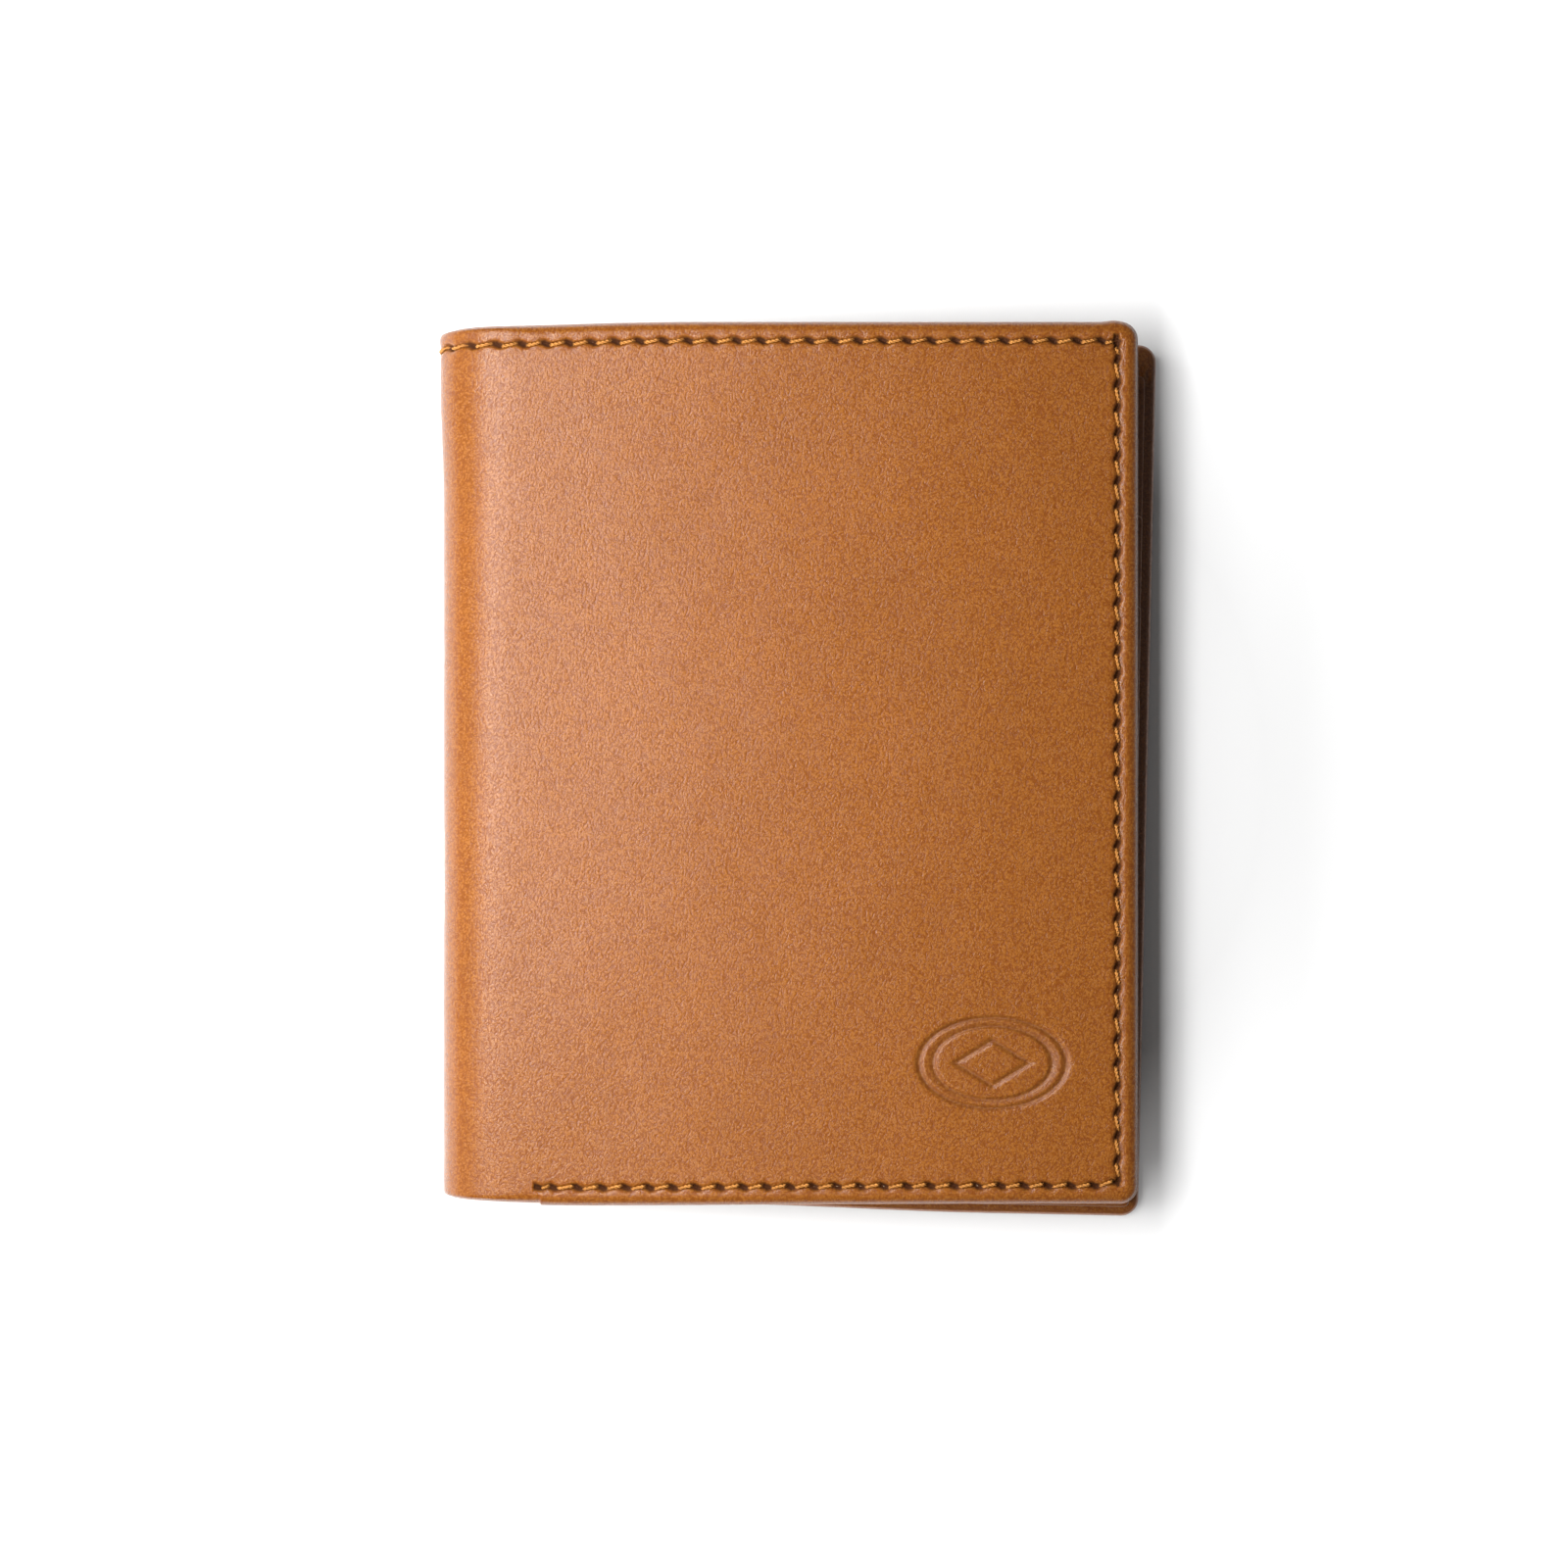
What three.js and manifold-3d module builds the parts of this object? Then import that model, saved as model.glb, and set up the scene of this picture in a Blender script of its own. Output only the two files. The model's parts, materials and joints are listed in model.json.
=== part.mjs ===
// A vertical bifold wallet in turned-edge leather, closed and lying on its back cover.
//
// One hide makes the shell: the front cover, the spine and the back cover, with a hem turned inward along every
// free edge. Inside it are a board and a lining, then an open compartment for notes, then a leather leaf that
// carries three card pockets in each half. The leaf runs round inside the spine, as the shell does outside it.
// The spine bends at three parallel lines, so its hide, lining and leaf are each two strips.
//
// Units are millimetres. The fold frame has its origin at the centre of the spine's curve, +Y along the fold
// towards the open top of the pockets, +X towards the free edges and +Z towards the front cover. Depth is
// measured inward from a cover's outer face. Each half is built as a front half, and the back half is mirrored.
import * as THREE from "three";
import { mergeVertices } from "three/addons/utils/BufferGeometryUtils.js";
import Module from "manifold-3d";

// Overall size
const CLOSED_WIDTH = 98; // spine to the front cover's free edge
const HEIGHT = 124.6;
const THICKNESS = 13.5;
const BACK_OVERHANG = 2; // how much further the back cover reaches than the front one
const SKEW = THREE.MathUtils.degToRad(1.2); // the back half lies turned by this against the front half

// Layers: the depth of each one's outer face, and its thickness
const HIDE = { depth: 0, thick: 1 };
const BOARD = { depth: 1.05, thick: 0.3 };
const LINING = { depth: 1.4, thick: 0.1 };
const HEM = { depth: 1.55, thick: 0.5 };
const LEAF_LINING = { depth: 2.3, thick: 0.1 };
const LEAF = { depth: 2.45, thick: 0.45 };
const POCKET = { depth: 2.95, gap: 0.8, thick: 0.35, pitch: 1.2 };

// Shell
const HEM_WIDTH = 7;
const CORNER = 2.4; // plan radius of a cover's corners
const EDGE_ROUND = 0.95; // section radius of a turned edge
const EDGE_STEPS = 4;
const NOTCH = { depth: 0.5, reach: 7.45 }; // the bottom hem is set back beside the spine
const BOARD_INSET = HIDE.thick + NOTCH.depth + 0.2;

// Leaf and card pockets. A card is 85.6 by 54 by 0.76.
const LEAF_INSET = 1.4;
const LEAF_TOP_DROP = 4.3; // the notes' compartment shows above the leaf
const POCKET_COUNT = 3;
const POCKET_START = 0.35; // from the fold
const POCKET_SIDE = 1.6; // width of a pocket's glued and sewn borders
const POCKET_SPINE_SIDE = 1.3;
const POCKET_TOP = 38; // opening of the rearmost pocket
const POCKET_STEP = 13;
const POCKET_HOLD = 46; // opening to floor
const POCKET_FLOOR = 1.2;

// Sewing
const THREAD = { width: 0.5, thick: 0.36, sink: 0.03, groove: 0.9, grooveDepth: 0.45 };
const BOBBIN = { width: 0.5, thick: 0.15, lift: 0.03 };
const TOP_ROW = 2.6; // inset of the row along the top hem
const SIDE_ROW = 2.75;
const BOTTOM_ROW = 2.4;
const POCKET_ROW = 1; // from the fold

// Spine
const RADIUS = THICKNESS / 2;
const BEND_COUNT = 3;
const BEND = 180 / BEND_COUNT;
const STRIP_GAP = 1.2; // degrees taken off each side of a bend
const RING_SEGMENTS = 48;

const FAR = 300; // longer than any part
const TOP = HEIGHT / 2;
const BOTTOM = -HEIGHT / 2;
const HEM_BACK = HEM.depth + HEM.thick;

const COLOURS = {
  leather: { color: 0xb06a36, roughness: 0.5, metalness: 0 },
  lining: { color: 0x6b4a33, roughness: 0.9, metalness: 0 },
  board: { color: 0x8a7866, roughness: 0.95, metalness: 0 },
  thread: { color: 0xd08a3e, roughness: 0.6, metalness: 0 },
};

const wasm = await Module();
wasm.setup();

// ---------- solids ----------

function solidOf(geometry) {
  const bare = new THREE.BufferGeometry();
  const source = geometry.index ? geometry.toNonIndexed() : geometry;
  bare.setAttribute("position", source.getAttribute("position"));
  const merged = mergeVertices(bare, 1e-4);
  const vertProperties = new Float32Array(merged.attributes.position.array);
  const triVerts = new Uint32Array(merged.index.array);
  return new wasm.Manifold(new wasm.Mesh({ numProp: 3, vertProperties, triVerts }));
}

function geometryOf(solid) {
  const mesh = solid.getMesh();
  const points = new Float32Array(mesh.numVert * 3);
  for (let i = 0; i < mesh.numVert; i++) {
    const at = i * mesh.numProp;
    points.set(mesh.vertProperties.subarray(at, at + 3), i * 3);
  }
  const geometry = new THREE.BufferGeometry();
  geometry.setAttribute("position", new THREE.BufferAttribute(points, 3));
  geometry.setIndex(new THREE.BufferAttribute(new Uint32Array(mesh.triVerts), 1));
  geometry.computeVertexNormals();
  return geometry;
}

function box([x0, x1], [y0, y1], [z0, z1]) {
  const geometry = new THREE.BoxGeometry(x1 - x0, y1 - y0, z1 - z0);
  geometry.translate((x0 + x1) / 2, (y0 + y1) / 2, (z0 + z1) / 2);
  return solidOf(geometry);
}

// The z range of a layer that lies flat at that depth in the front half.
function level({ depth, thick }) {
  return [RADIUS - depth - thick, RADIUS - depth];
}

// A plan outline with both free corners rounded, from x0 to x1.
function sheetOutline([x0, x1], [y0, y1], corner) {
  const outline = new THREE.Shape();
  outline.moveTo(x0, y0);
  outline.lineTo(x1 - corner, y0);
  outline.absarc(x1 - corner, y0 + corner, corner, -Math.PI / 2, 0);
  outline.lineTo(x1, y1 - corner);
  outline.absarc(x1 - corner, y1 - corner, corner, 0, Math.PI / 2);
  outline.lineTo(x0, y1);
  return outline;
}

function sheet(xs, ys, [z0, z1], corner) {
  const outline = sheetOutline(xs, ys, corner);
  const geometry = new THREE.ExtrudeGeometry(outline, { depth: z1 - z0, bevelEnabled: false, curveSegments: 6 });
  geometry.translate(0, 0, z0);
  return solidOf(geometry);
}

// A sheet with a rounded rim.
function roundedSheet(xs, ys, [z0, z1], corner, round) {
  const geometry = new THREE.ExtrudeGeometry(sheetOutline(xs, ys, corner), {
    depth: z1 - z0 - 2 * round,
    bevelThickness: round,
    bevelSize: round,
    bevelOffset: -round,
    bevelSegments: EDGE_STEPS,
    curveSegments: 6,
  });
  geometry.translate(0, 0, z0 + round);
  return solidOf(geometry);
}

// A whole ring round the fold, from a closed profile of [radius, y] corners.
function ring(profile) {
  const points = [...profile, profile[0]].map(([radius, y]) => new THREE.Vector2(radius, y));
  return solidOf(new THREE.LatheGeometry(points, RING_SEGMENTS));
}

function layerRing({ depth, thick }, [y0, y1]) {
  const outer = RADIUS - depth;
  const inner = outer - thick;
  return ring([[inner, y0], [outer, y0], [outer, y1], [inner, y1]]);
}

// The part of a ring between two angles, in degrees from the front cover round the back of the spine.
function sector(whole, from, to) {
  const outline = new THREE.Shape([
    new THREE.Vector2(0, 0),
    ...[from, (from + to) / 2, to].map((degrees) => {
      const angle = THREE.MathUtils.degToRad(degrees);
      return new THREE.Vector2(-Math.sin(angle), Math.cos(angle)).multiplyScalar(4 * RADIUS);
    }),
  ]);
  const wedge = new THREE.ExtrudeGeometry(outline, { depth: 2 * FAR, bevelEnabled: false });
  wedge.rotateX(Math.PI / 2).translate(0, FAR, 0);
  return whole.intersect(solidOf(wedge));
}

// ---------- the shell's turned edge round the spine ----------

// One end of the hide's section, from its inner face round the hem to its outer face.
function turnedEnd(edge, inward) {
  const at = (inset) => edge + inward * inset;
  const inner = RADIUS - HEM_BACK;
  const corner = (middle, start) =>
    Array.from({ length: EDGE_STEPS + 1 }, (_, i) => {
      const angle = start - (i / EDGE_STEPS) * (Math.PI / 2);
      return [middle + EDGE_ROUND * Math.cos(angle), at(EDGE_ROUND * (1 - Math.sin(angle)))];
    });
  return [
    [RADIUS - HIDE.thick, at(HIDE.thick)],
    [RADIUS - HEM.depth, at(HIDE.thick)],
    [RADIUS - HEM.depth, at(HEM_WIDTH)],
    [inner, at(HEM_WIDTH)],
    ...corner(inner + EDGE_ROUND, Math.PI),
    ...corner(RADIUS - EDGE_ROUND, Math.PI / 2),
  ];
}

function hideRing() {
  return ring([...turnedEnd(BOTTOM + NOTCH.depth, 1), ...turnedEnd(TOP, -1).reverse()]);
}

// ---------- sewing ----------

// A straight run of thread, sunk in the hide, and the groove that it lies in.
function sunkRun(xs, ys, isGroove) {
  const width = isGroove ? THREAD.groove : THREAD.width;
  const grow = (width - THREAD.width) / 2;
  const depth = isGroove ? -1 : THREAD.sink;
  const thick = isGroove ? THREAD.grooveDepth + 1 : THREAD.thick;
  const wider = ([a, b]) => [a - grow, b + grow];
  return box(wider(xs), wider(ys), level({ depth, thick }));
}

function span(at, width) {
  return [at - width / 2, at + width / 2];
}

// The seam down the free side and along the bottom as far as the notch.
function seamRuns(length, isGroove) {
  const side = span(length - SIDE_ROW, THREAD.width);
  const foot = span(BOTTOM + BOTTOM_ROW, THREAD.width);
  const head = TOP - TOP_ROW - THREAD.groove;
  const down = sunkRun(side, [foot[0], head], isGroove);
  const along = sunkRun([NOTCH.reach, side[1]], foot, isGroove);
  return down.add(along);
}

function topRun(length, isGroove) {
  return sunkRun([-HEM_WIDTH, length - TOP_ROW], span(TOP - TOP_ROW, THREAD.width), isGroove);
}

function topRing(isGroove) {
  const width = isGroove ? THREAD.groove : THREAD.width;
  const layer = isGroove
    ? { depth: -1, thick: THREAD.grooveDepth + 1 }
    : { depth: THREAD.sink, thick: THREAD.thick };
  return layerRing(layer, span(TOP - TOP_ROW, width));
}

// The opening of each pocket, and the depth of the face above the rearmost one and of each pocket's face.
const openings = Array.from({ length: POCKET_COUNT }, (_, i) => POCKET_TOP - i * POCKET_STEP);
const faces = [
  LEAF.depth + LEAF.thick,
  ...openings.map((_, i) => POCKET.depth + i * POCKET.pitch + POCKET.gap + POCKET.thick),
];

// A run of thread up the pockets' faces at x, which steps down to the next face at each opening.
function steppedRun(x, [y0, y1]) {
  const clear = 0.2;
  const ends = [y1, ...openings.map((y) => y + clear)];
  const outline = [];
  faces.forEach((face, i) => outline.push([ends[i], face + BOBBIN.lift], [ends[i + 1] ?? y0, face + BOBBIN.lift]));
  const under = [...faces.keys()].reverse();
  under.forEach((i) => {
    const low = i === POCKET_COUNT ? y0 : ends[i + 1] + BOBBIN.thick;
    const high = i === 0 ? y1 : ends[i] + BOBBIN.thick;
    const over = faces[i] + BOBBIN.lift + BOBBIN.thick;
    outline.push([low, over], [high, over]);
  });
  const shape = new THREE.Shape(outline.map(([y, depth]) => new THREE.Vector2(y, RADIUS - depth)));
  const geometry = new THREE.ExtrudeGeometry(shape, { depth: BOBBIN.width, bevelEnabled: false });
  geometry.applyMatrix4(new THREE.Matrix4().set(0, 0, 1, x - BOBBIN.width / 2, 1, 0, 0, 0, 0, 1, 0, 0, 0, 0, 0, 1));
  return solidOf(geometry);
}

// ---------- one half ----------

function makeHalf(name, length, turn, add) {
  const turned = (solid) => solid.rotate([0, 0, THREE.MathUtils.radToDeg(turn)]);
  const beyondFold = box([0, FAR], [-FAR, FAR], [-FAR, FAR]);
  const bendEdge = BEND / 2 - STRIP_GAP;
  // A flat sheet that starts before the fold, cut at the fold and joined to its share of the spine's curve.
  const wrapped = (flat, whole) => turned(flat).intersect(beyondFold).add(sector(whole, 0, bendEdge));
  const before = -HEM_WIDTH;
  const inset = (by) => [[before, length - by], [BOTTOM + by, TOP - by]];

  const makeCover = () => {
    const [xs, ys] = inset(0);
    const slab = roundedSheet(xs, ys, level({ depth: 0, thick: HEM_BACK }), CORNER, EDGE_ROUND);
    const bay = box(...inset(HIDE.thick), level({ depth: HIDE.thick, thick: HEM.depth - HIDE.thick }));
    const window = box(...inset(HEM_WIDTH), level({ depth: HIDE.thick, thick: HEM_BACK }));
    const notch = box([before, NOTCH.reach], [BOTTOM - 1, BOTTOM + NOTCH.depth], [-RADIUS, 2 * RADIUS]);
    const flat = slab.subtract(bay).subtract(window).subtract(notch);
    const grooved = flat.subtract(seamRuns(length, true)).subtract(topRun(length, true));
    return wrapped(grooved, hideRing().subtract(topRing(true)));
  };

  const makeLeaf = () => {
    const ys = [BOTTOM + LEAF_INSET, TOP - LEAF_TOP_DROP];
    return wrapped(sheet([before, length - LEAF_INSET], ys, level(LEAF), CORNER), layerRing(LEAF, ys));
  };

  // A pocket is a sheet on raised borders: both sides, the foot, and the floor that the card stands on.
  const makePocket = (index) => {
    const depth = POCKET.depth + index * POCKET.pitch;
    const opening = openings[index];
    const xs = [POCKET_START, length - LEAF_INSET];
    const foot = BOTTOM + LEAF_INSET;
    const floor = opening - POCKET_HOLD;
    const card = level({ depth: depth - 1, thick: POCKET.gap + 1 });
    const inner = [xs[0] + POCKET_SPINE_SIDE, xs[1] - POCKET_SIDE];
    const block = sheet(xs, [foot, opening], level({ depth, thick: POCKET.gap + POCKET.thick }), 1);
    const slot = box(inner, [floor, opening + 1], card);
    const below = box(inner, [foot + POCKET_SIDE, floor - POCKET_FLOOR], card);
    return turned(block.subtract(slot).subtract(below));
  };

  const makeSeamBobbin = () => {
    const x = length - SIDE_ROW;
    const foot = span(BOTTOM + BOTTOM_ROW, BOBBIN.width);
    const face = faces[POCKET_COUNT] + BOBBIN.lift;
    const along = box([NOTCH.reach, x + BOBBIN.width / 2], foot, level({ depth: face, thick: BOBBIN.thick }));
    return turned(steppedRun(x, [foot[0], TOP - LEAF_TOP_DROP - 1]).add(along));
  };

  const makeTopBobbin = () => {
    const layer = { depth: HEM_BACK + BOBBIN.lift, thick: BOBBIN.thick };
    const ys = span(TOP - TOP_ROW, BOBBIN.width);
    return wrapped(box([before, length - TOP_ROW], ys, level(layer)), layerRing(layer, ys));
  };

  const [boardXs, boardYs] = inset(BOARD_INSET);
  add(`${name}_cover`, "leather", makeCover());
  add(`${name}_stiffener`, "board", turned(sheet([1.5, boardXs[1]], boardYs, level(BOARD), 1)));
  add(`${name}_lining`, "lining", wrapped(sheet(boardXs, boardYs, level(LINING), 1), layerRing(LINING, boardYs)));
  const leafLiningYs = [BOTTOM + LEAF_INSET + 0.2, TOP - LEAF_TOP_DROP - 0.3];
  const leafLiningXs = [1, length - LEAF_INSET - 0.2];
  add(`${name}_leaf_lining`, "lining", turned(sheet(leafLiningXs, leafLiningYs, level(LEAF_LINING), CORNER)));
  add(`${name}_leaf`, "leather", makeLeaf());
  for (let i = 0; i < POCKET_COUNT; i++) {
    add(`${name}_card_pocket_${i + 1}`, "leather", makePocket(i));
  }
  add(`${name}_top_thread`, "thread", wrapped(topRun(length, false), topRing(false)));
  add(`${name}_top_bobbin_thread`, "thread", makeTopBobbin());
  add(`${name}_seam_thread`, "thread", turned(seamRuns(length, false)));
  add(`${name}_seam_bobbin_thread`, "thread", makeSeamBobbin());
  const pocketRow = steppedRun(POCKET_START + POCKET_ROW, [BOTTOM + BOTTOM_ROW, TOP - LEAF_TOP_DROP - 1]);
  add(`${name}_pocket_thread`, "thread", turned(pocketRow));
}

// ---------- one strip of the spine ----------

function makeStrip(name, index, add) {
  const from = BEND * (index + 0.5) + STRIP_GAP;
  const to = BEND * (index + 1.5) - STRIP_GAP;
  const strip = (whole) => sector(whole, from, to);
  const liningYs = [BOTTOM + BOARD_INSET, TOP - BOARD_INSET];
  const leafYs = [BOTTOM + LEAF_INSET, TOP - LEAF_TOP_DROP];
  const bobbin = { depth: HEM_BACK + BOBBIN.lift, thick: BOBBIN.thick };
  add(`${name}_leather`, "leather", strip(hideRing().subtract(topRing(true))));
  add(`${name}_lining`, "lining", strip(layerRing(LINING, liningYs)));
  add(`${name}_leaf`, "leather", strip(layerRing(LEAF, leafYs)));
  add(`${name}_top_thread`, "thread", strip(topRing(false)));
  add(`${name}_top_bobbin_thread`, "thread", strip(layerRing(bobbin, span(TOP - TOP_ROW, BOBBIN.width))));
}

// ---------- the wallet ----------

const materials = Object.fromEntries(
  Object.entries(COLOURS).map(([slot, look]) => [slot, new THREE.MeshStandardMaterial(look)]),
);

function holder(group) {
  return (name, slot, solid) => {
    const mesh = new THREE.Mesh(geometryOf(solid), materials[slot]);
    mesh.name = name;
    group.add(mesh);
  };
}

const frontHalf = new THREE.Group();
const backHalf = new THREE.Group();
const spine = new THREE.Group();
backHalf.scale.z = -1;
const frontLength = CLOSED_WIDTH - RADIUS;
makeHalf("front", frontLength, SKEW / 2, holder(frontHalf));
makeHalf("back", frontLength + BACK_OVERHANG, -SKEW / 2, holder(backHalf));
["spine_upper", "spine_lower"].forEach((name, i) => makeStrip(name, i, holder(spine)));

// Turned so that the front cover lies square, then set with the middle of its bounding box's base at the origin.
const folded = new THREE.Group();
folded.add(frontHalf, backHalf, spine);
folded.rotation.z = -SKEW / 2;
const wallet = new THREE.Group();
wallet.add(folded);
const bounds = new THREE.Box3().setFromObject(wallet, true);
const middle = bounds.getCenter(new THREE.Vector3());
folded.position.set(-middle.x, -middle.y, -bounds.min.z);

export default wallet;
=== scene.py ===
"""A closed bifold wallet in tan turned-edge leather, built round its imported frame.

Every sheet of the wallet is drawn in the same flat coordinates, in millimetres. s runs along the hide from
the front cover's free edge, round the spine, to the back cover's free edge. It is 0 where the front cover
starts to curve. t runs along the fold, towards the open top. Depth is measured inward from the outer face.
place() folds those coordinates into the closed wallet.
"""
import json
import math

import bpy
import numpy as np
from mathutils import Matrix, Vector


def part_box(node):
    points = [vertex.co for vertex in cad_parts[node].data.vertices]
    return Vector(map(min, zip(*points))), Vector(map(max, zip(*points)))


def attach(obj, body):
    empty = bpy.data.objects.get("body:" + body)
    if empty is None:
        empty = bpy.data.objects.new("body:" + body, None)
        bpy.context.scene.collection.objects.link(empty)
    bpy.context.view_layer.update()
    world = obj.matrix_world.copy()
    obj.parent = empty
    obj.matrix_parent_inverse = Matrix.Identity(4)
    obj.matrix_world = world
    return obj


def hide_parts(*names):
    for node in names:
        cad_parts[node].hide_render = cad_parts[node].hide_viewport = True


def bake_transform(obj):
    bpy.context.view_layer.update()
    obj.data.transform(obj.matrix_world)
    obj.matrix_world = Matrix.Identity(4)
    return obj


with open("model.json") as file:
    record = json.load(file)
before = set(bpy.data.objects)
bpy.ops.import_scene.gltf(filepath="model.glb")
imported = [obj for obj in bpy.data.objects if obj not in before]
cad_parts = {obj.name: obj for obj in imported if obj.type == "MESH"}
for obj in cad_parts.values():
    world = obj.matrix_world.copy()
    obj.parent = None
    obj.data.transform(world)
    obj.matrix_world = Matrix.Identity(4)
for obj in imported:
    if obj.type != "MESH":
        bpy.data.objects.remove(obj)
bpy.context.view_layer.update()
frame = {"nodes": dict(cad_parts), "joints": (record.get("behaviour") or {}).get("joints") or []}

MM = 0.001

# ---------- the fold, from the frame ----------

joints = {joint["name"]: joint for joint in frame["joints"]}
pivots = {name: np.array(joints[name]["pos_m"]) / MM for name in ("fold_lower", "fold_middle", "fold_upper")}
BEND = math.radians(joints["fold_middle"]["range_deg"][1])
ALONG = -np.array(joints["fold_middle"]["axis"], float)
ALONG /= np.linalg.norm(ALONG)
ACROSS = np.array([ALONG[1], -ALONG[0], 0])
UP = np.array([0, 0, 1])
PIVOT_RADIUS = (pivots["fold_upper"][2] - pivots["fold_lower"][2]) / 2 / math.cos(BEND / 2)
RADIUS = PIVOT_RADIUS * 2 * math.sin(BEND / 2) / BEND
CENTRE = pivots["fold_middle"] + PIVOT_RADIUS * ACROSS
HALF_SKEW = math.atan2(ALONG[0], ALONG[1])
ARC = math.pi * RADIUS

# ---------- sizes, in millimetres ----------

HEIGHT = 124.6
TOP, BOTTOM = HEIGHT / 2, -HEIGHT / 2
FRONT_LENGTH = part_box("front_cover")[1][0] / MM - CENTRE[0]
BACK_OVERHANG = 2
BACK_LENGTH = FRONT_LENGTH + BACK_OVERHANG
CORNER = 2.35

# depths: the hide's bare inner face, the hem's inner face, and both faces of each thin layer
HIDE = 1.05
HEM_BACK = 2.05
LINING = (1.4, 1.5)
LEAF_LINING = (2.3, 2.4)
LEAF = (2.45, 2.9)

HEM_WIDTH = 7
LEAF_INSET = 1.4
LEAF_TOP_DROP = 4.3
POCKET_OPENINGS = (38, 25, 12)
POCKET_START = 0.35
POCKET_THICK = 0.42

# how the closed wallet strays from two flat covers and a half round
FOLD_EASE = 5
SKEW_SETTLE = 20
SWELL, TOP_SWELL = 0.5, 0.45
TOP_SWELL_FROM, TOP_SWELL_OVER = 38, 18
PULL, PULL_REACH = 0.0157, 30
TOP_PULL_POWER, FOOT_PULL_POWER = 1.6, 3
BACK_SLIP = -0.6
FOOT_SAG, SAG_REACH = 0.33, 75
BACK_LIFT, LIFT_RISE, LIFT_REACH = 0.7, 10, 35
NOTCH_DEPTH, NOTCH_AT, NOTCH_EDGE = 0.3, 7.3, 0.2
NOTCH_TOP, NOTCH_FADE = 2.3, 2
TUCK, TUCK_AT, TUCK_WIDTH, TUCK_HEIGHT = 0.2, 3.3, 1.1, 1.2

# sewing
TOP_ROW = 2.6
SIDE_ROW = 2.8
BOTTOM_ROW = 2.45
ROW_CORNER = 2.95
SEAM_START = 6.9
TOP_PITCH, SIDE_PITCH, BOTTOM_PITCH = 3.442, 3.435, 3.317
TOP_FIRST, SIDE_FIRST, BOTTOM_FIRST = 2.1, 2.25, 3.2
SLANT = 0.2
THREAD_SIDE = 0.05
MIDDLE_ROW = 2.65  # about where every row of the seam lies, in from the edge

# the rounded edge of the hide in section
ROLL_REACH, ROLL_DROP = 1.6, 1.05
ROLL_START = math.radians(56)


def smooth(x):
    x = np.clip(x, 0, 1)
    return x * x * (3 - 2 * x)


def bell(x, width):
    return np.exp(-((x / width) ** 2))


def noise(x, y, seed):
    """Smooth value noise from -1 to 1, with a feature size of 1, from a sine hash of the grid's corners."""
    x0, y0 = np.floor(x), np.floor(y)
    fx, fy = smooth(x - x0), smooth(y - y0)

    def corner(i, j):
        wave = np.sin((x0 + i) * 127.1 + (y0 + j) * 311.7 + seed * 74.7) * 43758.5453
        return wave - np.floor(wave)

    low = corner(0, 0) * (1 - fx) + corner(1, 0) * fx
    high = corner(0, 1) * (1 - fx) + corner(1, 1) * fx
    return 2 * (low * (1 - fy) + high * fy) - 1


# ---------- folding ----------


def eased(x):
    """0 below -FOLD_EASE and x above FOLD_EASE, with a parabola between them."""
    return np.where(np.abs(x) < FOLD_EASE, (x + FOLD_EASE) ** 2 / (4 * FOLD_EASE), x.clip(0))


def spine_swell(t):
    """How much further the spine stands out than a half round, along its length."""
    return SWELL + math.sin(HALF_SKEW) * t + TOP_SWELL * smooth((t - TOP_SWELL_FROM) / TOP_SWELL_OVER)


def in_spine(s, settle):
    """From 0 on the flat covers to 1 on the spine."""
    return smooth((s + settle) / settle) * smooth((ARC + settle - s) / settle)


def notch(s, t):
    """How far the foot of the spine is cut back between the two covers."""
    near_foot = smooth((BOTTOM + NOTCH_TOP - t) / NOTCH_FADE)
    past_front, past_back = (smooth(a / NOTCH_EDGE) for a in (s + NOTCH_AT, ARC + NOTCH_AT - s))
    return NOTCH_DEPTH * near_foot * past_front * past_back


def tuck(s, t):
    """How far the hem's tuck pushes the top edge out beside the front cover's corner."""
    near_top = smooth((t - TOP + TUCK_HEIGHT) / TUCK_HEIGHT)
    return TUCK * bell(s + FRONT_LENGTH - TUCK_AT, TUCK_WIDTH) * near_top


def foot_shift(s, t):
    """The foot hangs a little lower towards the spine, and the back cover's foot is bowed up beside it."""
    low = smooth(-t / TOP)
    beyond = np.maximum(-s, s - ARC).clip(0)
    sag = FOOT_SAG * (1 - smooth(beyond / SAG_REACH))
    lift = BACK_LIFT * smooth((s - ARC) / LIFT_RISE) * (1 - smooth((beyond - LIFT_REACH) / LIFT_REACH))
    return low * (lift - sag)


def place(s, t, depth):
    """Points of the closed wallet, in metres."""
    s, t, depth = np.broadcast_arrays(*(np.asarray(a, float) for a in (s, t, depth)))
    angle = np.where(s < ARC / 2, eased(s), ARC - eased(ARC - s)) / RADIUS
    beyond = np.where(s < ARC / 2, eased(-s), eased(s - ARC))
    from_reach = ((PULL_REACH + np.minimum(s, ARC - s)) / (PULL_REACH + ARC / 2)).clip(0, 1)
    pull = np.where(t > 0, from_reach**TOP_PULL_POWER, from_reach**FOOT_PULL_POWER)
    x = beyond - (RADIUS - depth) * np.sin(angle) * (1 + spine_swell(t) / RADIUS)
    y = t * (1 - PULL * pull) + notch(s, t) + tuck(s, t) + foot_shift(s, t)
    y = y + BACK_SLIP * smooth(s / ARC)
    z = (RADIUS - depth) * np.cos(angle)
    turn = HALF_SKEW * np.where(s < 0, 1, -1) * smooth(beyond / SKEW_SETTLE)
    across = x * np.cos(turn) - y * np.sin(turn)
    along = x * np.sin(turn) + y * np.cos(turn)
    return (CENTRE + across[..., None] * ACROSS + along[..., None] * ALONG + z[..., None] * UP) * MM


# ---------- a grid that is fine only where it has to be ----------

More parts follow.
